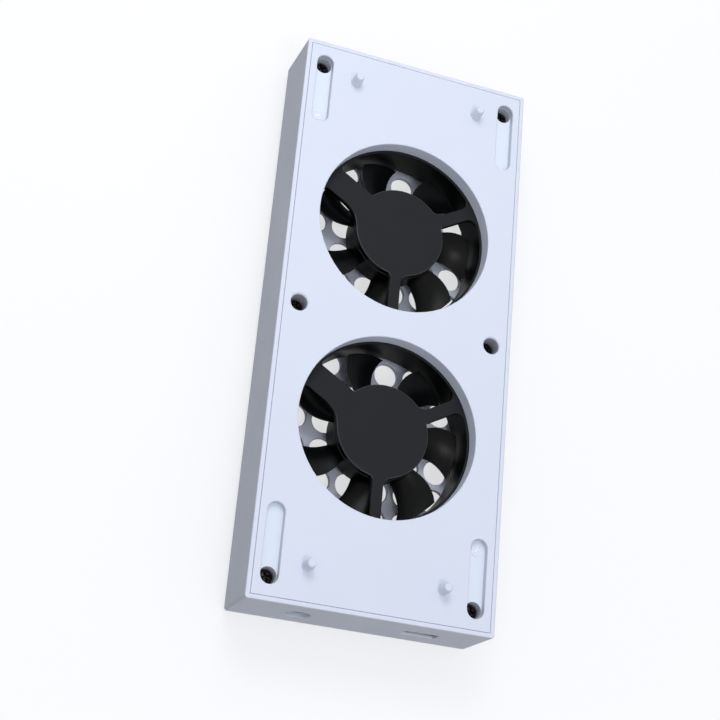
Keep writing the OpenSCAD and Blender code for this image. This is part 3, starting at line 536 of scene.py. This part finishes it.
# The inlet and the switch stand between ribs and on lower ones, with one more behind each
inlet_gap, inlet_back, switch_gap, switch_back = 4.6, port_y + 12.1, 6.6, port_y + 6
ribs = [*beside(inlet_x, inlet_gap, inlet_back, port_z),
        (inlet_x - rib_t, inlet_x + rib_t, inlet_back - 0.1, port_z - 4.5),
        *beside(switch_x, switch_gap, switch_back, port_z),
        *beside(switch_x, 3.73, switch_back, port_z - 3.25)]
fittings += [block((x0, port_y - into_wall, low), (x1, y1, top)) for x0, x1, y1, top in ribs]
for x, gap, y, deep in ((inlet_x, inlet_gap, inlet_back, 3.5),
                        (switch_x, switch_gap, switch_back + 0.1, 2.45)):
    fittings.append(block((x - gap - rib_t, y, low), (x + gap + rib_t, y + rib_t, port_z - deep)))
print("inside the tray:", len(fittings), "solids")
combine(housing, fittings, "UNION")

# %% [markdown]
# Air comes in through the floor, under each fan, by 32 round holes in a square grid without its
# corners. One cutter that rounds both edges of its hole is copied to all of them. The bosses get
# their screw holes, and the rubber feet sit in shallow seats.

# %% Intake holes, screw holes and seats for the feet
intake_r, intake_edge, pitch, pilot_r = 3.3, 0.25, 8.2, 1.3
foot_x, foot_y, foot_r = 24, 64, 4.5
grid = [k - 2.5 for k in range(6)]
grille = [(i * pitch, side * fan_y + j * pitch) for side in (-1, 1) for i in grid for j in grid
          if abs(i) + abs(j) < 5]
first = hole(intake_r, case_z, floor_z, intake_edge, steps=36, both=True)
cutters = [copy_to(first, x, y) for x, y in grille]
bpy.data.objects.remove(first)
combine(housing, cutters)
combine(housing, [rod(pilot_r, floor_z + 1, boss_top_z + 1, x, y, 24) for x, y in screws]
        + [rod(foot_r, case_z - 1, case_z + 0.6, x, y) for x, y in four(foot_x, foot_y)])
print("housing:", len(grille), "intake holes")

# %% [markdown]
# One end wall has a round hole for the power plug and a slot for the switch. Both cutters stand
# upright first, where their outlines are easy to draw, and are then laid on their side. Behind each
# hole the wall is thinned by a pocket, as it is on the real case, so the plug and the fingertip get
# close to the inlet and the switch. That leaves a thin lip and a dark gap.

# %% Inlet hole and switch slot
slot_lip, inlet_lip, pocket = half_l - 0.7, half_l - 1.25, half_l - wall_t - 0.3
inlet_r, inlet_edge, inlet_pocket_r = 3.1, 0.35, 4.2
slot_w, slot_h, slot_r, slot_edge = 9.2, 4.6, 0.3, 0.2


def rounded(w, l, r, steps=6):
    """Outline of a rectangle with round corners."""
    return [(sx * (w / 2 - r) + r * math.cos(a), sy * (l / 2 - r) + r * math.sin(a))
            for q, (sx, sy) in enumerate(((1, 1), (-1, 1), (-1, -1), (1, -1)))
            for a in [math.pi / 2 * (q + k / steps) for k in range(steps + 1)]]


def slot(wide):
    """Outline of the slot, wider by this much on every side."""
    return rounded(slot_w + 2 * wide, slot_h + 2 * wide, slot_r + wide)


def laid(cutter, x):
    """Lays an upright cutter on its side, so that its top points out of the end wall."""
    only(cutter)
    cutter.rotation_euler = (math.pi / 2, 0, 0)
    cutter.location = (x, 0, port_z)
    return added()


inlet = laid(hole(inlet_r, pocket, half_l, inlet_edge), inlet_x)
mouth = laid(tower([(pocket, slot(0)), (half_l - 0.25, slot(0)),
                    *[(half_l - deep, slot(wide)) for wide, deep in flare(slot_edge)[1:]],
                    (half_l + 1, slot(slot_edge))]), switch_x)
combine(housing, [laid(rod(inlet_pocket_r, pocket, inlet_lip), inlet_x),
                  laid(tower([(z, rounded(12, 6, 0.5)) for z in (pocket, slot_lip)]), switch_x)])
combine(housing, [inlet, mouth])
finish(housing, "housing_shell", white_abs, "white_plastic", "case", "housing")

# %% [markdown]
# ## The cover
# The cover is a flat plate let into the rim, with a collar round each fan opening and a cup for
# each screw. What the eye sees is its top: wide openings with a 4 mm wall, six deep wells, four
# shallow recesses that run in from the corner screws, and four pegs. The plate is a block with a
# bevelled edge, the collars and cups are added, and then everything hollow is cut at once.

# %% Plate, collars and cups
fan_top_z, opening_r, seam, seat_z = 16.3, 24.55, 0.12, 15.4
recess_r, recess_reach, recess_z, tray_t = 2.35, 8, face_z - 1.8, 1.1
collar_t, cup_r, under = 1.2, 3.35, ledge_z + 0.8
plate_w, plate_l = case_w - 2 * (rim_t + seam), case_l - 2 * (rim_t + seam)
cover = block((-plate_w / 2, -plate_l / 2, ledge_z), (plate_w / 2, plate_l / 2, face_z))
edit(cover)
pick(cover, "edges", lambda e: at_height(e, face_z))
bpy.ops.mesh.bevel(offset=seam_edge, segments=2, affect="EDGES")
leave()


def recess(grow, steps=12):
    """Outline of a recess about its own middle, wider by grow."""
    r = recess_r + grow
    return [(r * math.cos(a), end * recess_reach + r * math.sin(a))
            for end, start in ((1, 0), (-1, math.pi))
            for a in [start + math.pi * k / steps for k in range(steps + 1)]]


def moved(outline, x, y):
    """The same outline round another place."""
    return [(x + a, y + b) for a, b in outline]


recesses = four(screw_x, screw_y - recess_reach)
solids = [rod(opening_r + collar_t, fan_top_z, under, 0, side * fan_y, 128) for side in (-1, 1)]
solids += [rod(cup_r, boss_top_z, under, x, y) for x, y in screws]
# Each recess is nearly as deep as the plate, so it gets a tray of its own below
solids += [tower([(z, moved(recess(tray_t), x, y)) for z in (17.2, under)]) for x, y in recesses]
# Two tongues reach down to the inlet and the switch and hold them in their seats
for x, half, deep, high in ((inlet_x, 2.25, 11, 4.5), (switch_x, 3.25, 5, 3.25)):
    solids.append(block((x - half, port_y + 1, port_z + high), (x + half, port_y + deep, under)))
combine(cover, solids, "UNION")
print("cover:", len(solids), "solids added under the plate")

# %% Openings, recesses and wells
opening_edge, recess_edge, middle_edge, corner_edge = 0.3, 0.3, 0.62, 0.08
well_r, clear_r = 2.25, 1.35
combine(cover, [hole(opening_r, fan_top_z - 1, face_z, opening_edge, 0, side * fan_y, 128)
                for side in (-1, 1)])
profile = [(recess_z, 0), *[(face_z - deep, wide) for wide, deep in flare(recess_edge, 3)],
           (face_z + 1, recess_edge)]
combine(cover, [tower([(z, moved(recess(wide), x, y)) for z, wide in profile])
                for x, y in recesses])
# The middle wells start at the face, and those in the corners at the floor of a recess
wells = [(x, y, recess_z if y else face_z, corner_edge if y else middle_edge) for x, y in screws]
combine(cover, [hole(well_r, seat_z, top, edge, x, y) for x, y, top, edge in wells])
combine(cover, [rod(clear_r, boss_top_z - 1, seat_z + 0.5, x, y, 24) for x, y in screws])
print("cover:", len(cover.data.polygons), "faces")

# %% [markdown]
# A peg is a turned shape: a straight post with hardly a radius at its foot, a tapered tip, and a
# flat end with a soft edge. The small ring with a raised dot that shows in two of the recesses is
# where a moulding pin has pressed. All are turned on the lathe and sunk a little into the plate.
# Last, the walls inside the wells and recesses are painted greyer as shade, the recess floors get
# a glossier finish, and the marks are painted whiter, partly as a highlight.

# %% Pegs and moulding marks
peg_x, peg_y, mark_y = 18.1, 68.5, screw_y - 15.6
peg = lathe([(0, -0.2), (1.56, -0.2), (1.56, 0), (1.51, 0.02), (1.48, 0.07), (1.45, 1), (1.4, 2.2),
             (1.2, 3.3), (1.13, 3.5), (1.02, 3.68), (0.88, 3.78), (0.75, 3.8), (0, 3.8)], steps=40)
# A dot, a faint ring round it and a clear ring outside
marks = lathe([(0, 0.2), (0.16, 0.18), (0.27, 0.12), (0.4, 0.03), (0.45, -0.05), (0.78, -0.05),
               (0.82, -0.01), (0.9, 0.02), (0.98, -0.01), (1.02, -0.05), (1.26, -0.05), (1.3, 0.08),
               (1.4, 0.14), (1.5, 0.08), (1.54, -0.05), (1.5, -0.2), (0, -0.2)], steps=40)
extras = [copy_to(peg, x, y, face_z) for x, y in four(peg_x, peg_y)]
dots = [Vector((-side * screw_x, side * mark_y)) for side in (-1, 1)]
extras += [copy_to(marks, dot.x, dot.y, recess_z) for dot in dots]
bpy.data.objects.remove(peg)
bpy.data.objects.remove(marks)
cover = join([cover, *extras])
finish(cover, "cover_plate", white_abs, "white_plastic", "case", "cover")


def in_row(p):
    """Whether a place is in the row of wells and recesses along one side."""
    return abs(abs(p.x) - screw_x) < 2.5


# The middle wells' walls: painted greyer as shade
refinish(cover, shaded_well_abs, lambda p: in_row(p) and abs(p.y) < 10
         and seat_z + 0.05 < p.z < face_z - middle_edge - 0.03)
# Walls of the recesses and corner wells: painted greyer as shade
refinish(cover, shaded_wall_abs, lambda p: in_row(p) and abs(p.y) > 10 and (
    seat_z + 0.05 < p.z < recess_z - 0.005 or recess_z + 0.005 < p.z < face_z - recess_edge - 0.1))
refinish(cover, smooth_abs, lambda p: in_row(p) and abs(p.z - recess_z) < 0.004)
# Moulding dots and rings: painted whiter, partly as a highlight
refinish(cover, gate_highlight_abs, lambda p: p.z < recess_z + 0.2 and any(
    (p.xy - dot).length < 0.43 or 1.3 < (p.xy - dot).length < 1.5 for dot in dots))

# %% [markdown]
# ## The screws
# Six pan head screws hold the cover, deep in their wells, so little more than a dark head with a
# glint in its cross recess is seen. The head and the threaded shank are turned in one outline, and
# two crossed wedges, narrow at the bottom, cut the recess. One screw is made and copied.

# %% Case screws
crest_r, root_r, half_pitch = 1.22, 1.0, 0.28
head = [(0, 1.6), (0.9, 1.58), (1.5, 1.45), (1.86, 1.15), (2.02, 0.75), (2.05, 0.35), (2.0, 0.06),
        (1.92, 0)]
thread = [(crest_r if k % 2 else root_r, -0.25 - half_pitch * k) for k in range(25)]
screw = lathe([*head, (crest_r, 0), *thread, (0.25, -8.4), (0, -8.5)], steps=32)
wedge = tower([(z, rounded(w, l, 0.05, steps=1))
               for z, w, l in ((0.55, 1.5, 0.36), (1.7, 2.5, 0.62))])
for turn in (0, 90):
    combine(screw, [copy_to(wedge, turn=turn)])
bpy.data.objects.remove(wedge)
for k, (x, y) in enumerate(screws):
    finish(copy_to(screw, x, y, seat_z, turn=20 + 50 * k), f"case_screw_{k + 1}", black_steel,
           "black_steel", "case", "case_screws")
bpy.data.objects.remove(screw)

# %% [markdown]
# ## The feet
# Four soft pads keep the intake off the table. A pad is a low puck with a round lower edge and a
# shallow dish in the middle, like a suction cup, which is how such feet grip. It is turned too.

# %% Rubber feet
foot = lathe([(0, 0.35), (2.2, 0.3), (2.9, 0.08), (3.3, 0), (3.9, 0.03), (4.25, 0.18), (4.45, 0.45),
              (foot_r, 0.8), (foot_r, 2.6), (0, 2.6)], steps=64)
for k, (x, y) in enumerate(four(foot_x, foot_y)):
    finish(copy_to(foot, x, y), f"rubber_foot_{k + 1}", foot_rubber, "grey_rubber", "case",
           "rubber_feet")
bpy.data.objects.remove(foot)

# %% [markdown]
# ## The fans' frames
# A fan's frame is a square block with a round duct, and a motor plate that hangs in front of the
# duct on three struts. Plate and struts could be drawn as solids, but their edges flow into each
# other in arcs of several sizes. It is simpler to leave the front closed and to cut the three
# windows between the struts: each is one outline of arcs and straight lines. The wide strut carries
# the leads.

# %% Outline of a window between two struts
plate_r, duct_r, plate_z, fan_h = 12.7, 23.9, 8.4, 10


def corner(angle, side, half, blend, end, grow, steps=7):
    """Window outline along one side of a strut, from the motor plate out to the duct."""
    points = []
    # One arc blends from the plate into the strut, and the next from the strut into the duct
    for radius, reach in ((blend + grow, plate_r + blend), (end + grow, duct_r - end)):
        v = half - grow + radius
        u = math.sqrt(reach ** 2 - v ** 2)
        start = math.atan2(-v, -u) + 2 * math.pi if not points else 1.5 * math.pi
        stop = 1.5 * math.pi if not points else math.atan2(v, u) + 2 * math.pi
        points += [(u + radius * math.cos(a), v + radius * math.sin(a))
                   for a in [start + (stop - start) * k / steps for k in range(steps + 1)]]
    turn = math.radians(angle)
    return [(u * math.cos(turn) - side * v * math.sin(turn),
             u * math.sin(turn) + side * v * math.cos(turn)) for u, v in points]


def arc(radius, start, stop, steps):
    """Points on a circle between the angles of two points, without the two ends."""
    a, b = math.atan2(*reversed(start)), math.atan2(*reversed(stop))
    b += 2 * math.pi * (b < a)
    return [(radius * math.cos(a + (b - a) * k / steps), radius * math.sin(a + (b - a) * k / steps))
            for k in range(1, steps)]


def window(one, two, grow):
    """Outline from the left side of one strut to the right side of the next."""
    near = corner(one[0], 1, *one[1:4], grow)
    far = corner(two[0], -1, *two[4:], two[3], grow)
    return (near + arc(duct_r + grow, near[-1], far[-1], 40) + far[::-1]
            + arc(plate_r - grow, near[0], far[0], 24)[::-1])


# Each strut: angle, half width and blend on its left, fillet at the duct, then half width and
# blend on its right
struts = [(30, 1.45, 3, 2.2, 2.15, 0.5), (150, 3.85, 8, 0.8, 3.5, 0.3),
          (270, 1.4, 2.4, 0.8, 1.75, 1.2)]
front_edge = 0.25
levels = [(plate_z - 0.6, 0), *[(fan_h - deep, wide) for wide, deep in flare(front_edge, 3)],
          (fan_h + 1, front_edge)]
windows = [[(z, window(one, two, grow)) for z, grow in levels]
           for one, two in zip(struts, struts[1:] + struts[:1])]
print("a window has", len(windows[0][0][1]), "corners")

# %% [markdown]
# The block's upright edges are bevelled to a 3 mm radius, the duct is drilled up to the motor plate
# with a round inlet edge, and the three windows open its front. The bearing tube is then added
# behind the plate, and a channel cut under the wide strut for the leads. The mould is dull where it
# shapes the front and smoother in the duct, where air has to slip past, so the faces inside get a
# second finish, which is also painted nearly black as shade. The narrow band between the two,
# round the motor plate's front edge, is painted lighter as a highlight.

# %% Fan frame
half_fan, frame_r, duct_edge, tube_r, bore_r, frame_hole_r = 25, 3, 0.6, 3.4, 2.5, 2.15
fan_frame = block((-half_fan, -half_fan, 0), (half_fan, half_fan, fan_h))
edit(fan_frame)
pick(fan_frame, "edges", lambda e: abs(e.verts[0].co.z - e.verts[1].co.z) > 1)
bpy.ops.mesh.bevel(offset=frame_r, segments=8, affect="EDGES")
pick(fan_frame, "edges", lambda e: (at_height(e, 0) or at_height(e, fan_h))
     and e.calc_face_angle(0) > 1)
bpy.ops.mesh.bevel(offset=0.3, segments=2, affect="EDGES")
leave()
duct = lathe([(0, plate_z), (duct_r, plate_z),
              *[(duct_r + wide, deep) for wide, deep in flare(duct_edge)],
              (duct_r + duct_edge, -1), (0, -1)], steps=128)
combine(fan_frame, [duct])
combine(fan_frame, [tower(floors) for floors in windows])
combine(fan_frame, [rod(tube_r, 2.8, plate_z + 0.3)], "UNION")
channel = block((4.4, -1.3, plate_z - 0.1), (30, 1.3, plate_z + 1.1))
combine(fan_frame, [rod(bore_r, 1, plate_z), copy_to(channel, turn=struts[1][0])])
bpy.data.objects.remove(channel)
combine(fan_frame, [hole(frame_hole_r, 0, fan_h, 0.2, x, y, 32, both=True)
                    for x, y in four(frame_hole, frame_hole)])
for side, where in ((1, "rear"), (-1, "front")):
    piece = finish(copy_to(fan_frame, 0, side * fan_y, fan_z), f"{where}_fan_frame_shell",
                   frame_pbt, "black_plastic", "case", f"{where}_fan_frame")
    middle, face = Vector((0, side * fan_y)), fan_z + fan_h
    # Faces inside the duct: painted nearly black as shade
    refinish(piece, shaded_duct_pbt, lambda p: (p.xy - middle).length < duct_r + duct_edge + 0.05
             and p.z < face - front_edge - 0.02)
    # The motor plate's round front edge: painted lighter as a highlight
    refinish(piece, edge_highlight_pbt, lambda p: (p.xy - middle).length < plate_r + 0.6
             and face - front_edge - 0.01 < p.z < face - 0.01)
bpy.data.objects.remove(fan_frame)

# %% [markdown]
# ## The impellers
# An impeller is a cup-shaped hub with seven blades, moulded in glossy black plastic. Each blade is
# a thin twisted wing: seen from above its rear edge bows outwards, and it rises from its low
# leading edge to its high trailing edge. A blade is a tower of wing sections from root to tip, with
# each point placed by angle and height. Its rounded rims catch the thin lines of light in the
# photograph.

# %% One blade
root_at, hub_r, blade_r, blades, sections = 11.9, 12.4, 23.2, 7, 10


def wing(radius, n=10):
    """Points round the blade's section at a radius, as (radius, angle, height)."""
    q = (radius - (hub_r + blade_r) / 2) / (blade_r - hub_r)
    # Angle of the trailing edge in degrees, bowed along the blade
    edge = 73 - 7 * q - 15.2 * q * q
    points = []
    for k in range(2 * n + 2):
        top = k > n
        # Along the section, from 0 at the leading edge to 1 at the trailing edge
        s = (2 * n + 1 - k if top else k) / n
        middle = 0.8 + 3.9 * (s + 0.12 * math.sin(math.pi * s))
        half = 0.22 + 0.28 * math.sin(math.pi * s)
        points.append((radius, edge - (28 + q) * (1 - s), middle + (half if top else -half)))
    return points


def in_space(points):
    """Places in x, y and z of points given by radius, angle and height."""
    return [(r * math.cos(math.radians(a)), r * math.sin(math.radians(a)), z) for r, a, z in points]


blade = rolled([in_space(wing(root_at + (blade_r - root_at) * k / (sections - 1)))
                for k in range(sections)])
edit(blade)
rims = pick(blade, "edges", lambda e: e.calc_face_angle(0) > 1)
bpy.ops.mesh.bevel(offset=0.09, segments=2, affect="EDGES")
leave()
print("blade:", rims, "rim edges")

# %% [markdown]
# The hub is turned: a flat back with a round edge, a cup that holds the steel yoke, and a boss for
# the shaft. The blades are set round it by turning copies of the first, and the front impeller
# rests 2.3 degrees from the rear one, as in the photograph. The cup's rim is a little wider than
# the motor plate above it, so that a second thin line runs beside the plate's edge.

# %% Hub and blades
lip_r, lip_z = 12.78, 7.85
hub = lathe([(0, 0.45), (9.6, 0.45), (9.8, 0.2), (11.9, 0.2), (12.2, 0.3), (12.37, 0.55),
             (hub_r, 0.8), (hub_r, 6.8), (12.7, 7.1), (lip_r, 7.3), (lip_r, lip_z), (12.73, 8.0),
             (12.6, 8.08), (12.4, 8.1), (11.6, 8.1), (11.4, 7.95), (11.4, 1.4), (2.8, 1.4),
             (2.8, 2.4), (1, 2.4), (1, 0.8), (0, 0.8)], steps=96)
impeller = join([hub] + [copy_to(blade, turn=360 / blades * k) for k in range(blades)])
bpy.data.objects.remove(blade)
# The hub is painted nearly black as shade up to its lip, and is dull and a lighter grey above it
# as a painted line of light; the top of each blade's rim is painted lighter as a highlight
lip_top, rims_z = fan_z + lip_z - 0.01, fan_z + 4.87
for side, where, turn in ((1, "rear", 0), (-1, "front", -2.3)):
    piece = finish(copy_to(impeller, 0, side * fan_y, fan_z, turn), f"{where}_impeller_shell",
                   blade_pbt, "glossy_black_plastic", f"{where}_rotor", f"{where}_impeller")
    middle, reach = Vector((0, side * fan_y)), lip_r + 0.02
    refinish(piece, shaded_duct_pbt, lambda p: (p.xy - middle).length < reach and p.z < lip_top)
    refinish(piece, frame_pbt, lambda p: (p.xy - middle).length < reach and p.z > lip_top)
    refinish(piece, edge_highlight_pbt, lambda p: (p.xy - middle).length > reach and p.z > rims_z)
bpy.data.objects.remove(impeller)

# %% [markdown]
# ## The switch's knob
# Through the slot one sees a small white knob with ridges for a fingertip, which slides by 4 mm. A
# block is cut into strips with Subdivide, and every other strip of its front is pushed in by
# Extrude, which leaves the ridges standing. Its carriage runs behind the window of the steel shell.

# %% Switch knob
knob_x, tip_y, seat_y = switch_x - 2, -half_l + 0.5, port_y + 0.65
half_knob, strips = 1.9, 9
knob = block((knob_x - half_knob, tip_y, port_z - 1.7),
             (knob_x + half_knob, seat_y + 0.1, port_z + 1.7))
edit(knob)
pick(knob, "edges", lambda e: abs(e.verts[0].co.x - e.verts[1].co.x) > 1)
bpy.ops.mesh.subdivide(number_cuts=strips - 1)
strip_w = 2 * half_knob / strips
pick(knob, "faces", lambda f: f.normal.y < -0.9
     and round((f.calc_center_median().x - knob_x) / strip_w) % 2)
bpy.ops.mesh.extrude_region_move(TRANSFORM_OT_translate={"value": (0, 0.35, 0)})
pick(knob, "edges", lambda e: all(abs(v.co.y - tip_y) < 0.001 for v in e.verts)
     and e.calc_face_angle(0) > 1)
bpy.ops.mesh.bevel(offset=0.08, segments=2, affect="EDGES")
leave()
carriage = block((knob_x - 3, seat_y, port_z - 2.3), (knob_x + 3, seat_y + 1.2, port_z + 2.3))
modify(carriage, "BEVEL", width=0.15, segments=2)
knob = join([knob, carriage])
finish(knob, "switch_knob_ridged", knob_pom, "white_plastic", "knob", "switch_knob")

# %% [markdown]
# ## What stays as it is
# The motor's inner parts, the leads, the inlet and the switch are simple shapes that the CAD model
# draws well, and a closed case hides them. They keep their CAD meshes and only get real materials.

# %% Materials for the CAD parts that stay
in_fans = {"yoke": plated_steel, "magnet": ferrite, "shaft": ground_steel, "clip": clip_nylon,
           "bearing": bronze, "core": core_steel, "insulator": cream_nylon, "coils": copper,
           "board": board_green, "drive_chip": chip_epoxy, "black_lead": black_pvc,
           "red_lead": red_pvc}
keeps = {f"{where}_{part}": material for part, material in in_fans.items()
         for where in ("rear", "front")}
keeps |= {"inlet_body": jack_nylon, "inlet_pin": plated_steel, "inlet_spring": brass,
          "inlet_lead": red_pvc, "switch_shell": plated_steel, "switch_base": paper_laminate,
          "switch_terminals": brass, "switch_wiper": brass}
for name, material in keeps.items():
    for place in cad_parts[name].material_slots:
        place.material = material
print(len(keeps), "CAD parts keep their shapes")

# %% [markdown]
# ## Floor, world and lamps
# The photograph has a white ground and soft light from above and behind. White could come from
# strong lamps, but they would bleach the object. Instead the floor and the world show themselves
# white to the camera and to reflections only. The world lights the object from above at a plain
# level, and the floor throws nothing back. The floor still mixes in a real diffuse surface, most of
# it near the case, so the shadow of the case stays on it. Seen from below the floor is clear and a
# soft light comes straight up, so that the underside of the case can be looked at too.

# %% World
world = bpy.data.worlds.new("world")
bpy.context.scene.world = world
world.use_nodes = True
tree = world.node_tree
tree.nodes.clear()


def seen(tree):
    """1 for rays that come from the camera, a reflection or glass, and 0 for light on things."""
    rays = add_node(tree, "LightPath", {}).outputs
    mirror = add_node(tree, "Math", {0: rays["Is Camera Ray"], 1: rays["Is Glossy Ray"]},
                      operation="MAXIMUM")
    return add_node(tree, "Math", {0: mirror, 1: rays["Is Transmission Ray"]}, operation="MAXIMUM")


sky = add_node(tree, "TexCoord", {})
height = add_node(tree, "SeparateXYZ", {0: sky.outputs["Generated"]}).outputs["Z"]
above = add_node(tree, "MapRange", {"Value": height, "To Min": 0.26, "To Max": 0.88})
below = add_node(tree, "MapRange", {
    "Value": height, "From Min": -1, "From Max": -0.75, "To Min": 1, "To Max": 0})
upper = add_node(tree, "Math", {0: height, 1: 0}, operation="GREATER_THAN")
fade = add_node(tree, "Mix", {"Factor": upper, "A": below, "B": above})
soft = add_node(tree, "Background", {"Color": colour("#f3f6ff"), "Strength": fade})
pale = add_node(tree, "Background", {"Color": colour("#ffffff"), "Strength": 1})
both = add_node(tree, "MixShader", {0: seen(tree), 1: soft, 2: pale})
add_node(tree, "OutputWorld", {"Surface": both})

# %% Floor
bpy.ops.mesh.primitive_plane_add(size=6)
floor = bpy.context.object
floor.name = "floor"
floor_paint = bpy.data.materials.new("pale_floor")
floor_paint.use_nodes = True
tree = floor_paint.node_tree
tree.nodes.clear()
matt = add_node(tree, "BsdfDiffuse", {"Color": colour("#fcfcff")})
glow = add_node(tree, "Emission", {"Color": colour("#ffffff"), "Strength": 1})
# The share of the glow grows with the distance from the case, in metres
place = add_node(tree, "TexCoord", {})
away = add_node(tree, "VectorMath", {0: place.outputs["Object"]}, operation="LENGTH")
share = add_node(tree, "MapRange", {
    "Value": away.outputs["Value"], "From Min": 0.07, "From Max": 0.3, "To Min": 0.64, "To Max": 1})
shown = add_node(tree, "MixShader", {0: share, 1: matt, 2: glow})
clear = add_node(tree, "BsdfTransparent", {})
both = add_node(tree, "MixShader", {0: seen(tree), 1: clear, 2: shown})
back = add_node(tree, "NewGeometry", {})
paint = add_node(tree, "MixShader", {0: back.outputs["Backfacing"], 1: both, 2: clear})
add_node(tree, "OutputMaterial", {"Surface": paint})
floor.data.materials.append(floor_paint)

# %% [markdown]
# One soft lamp close behind the case, a little to the left, makes the small shadows in front of the
# pegs and brightens the far end of the face. A wide one, high in front and further away, fills the
# walls that face the camera and draws the faint streak behind each peg. The strengths are set so
# that a colour on the top face renders about as it is written.

# %% Lamps
def lamp(name, place, size, power, tint):
    """Adds a round lamp that looks at the middle of the floor."""
    data = bpy.data.lights.new(name, "AREA")
    data.shape, data.size, data.energy, data.color = "DISK", size, power, colour(tint)[:3]
    light = bpy.data.objects.new(name, data)
    bpy.context.scene.collection.objects.link(light)
    light.location = place
    light.rotation_euler = (-Vector(place)).to_track_quat("-Z", "Y").to_euler()


lamp("key", (-0.09, 0.19, 0.37), 0.22, 0.55, "#f9fbff")
lamp("fill", (0.05, -0.5, 1), 0.3, 1.8, "#fbfbff")
bpy.context.scene.view_settings.view_transform = "Standard"
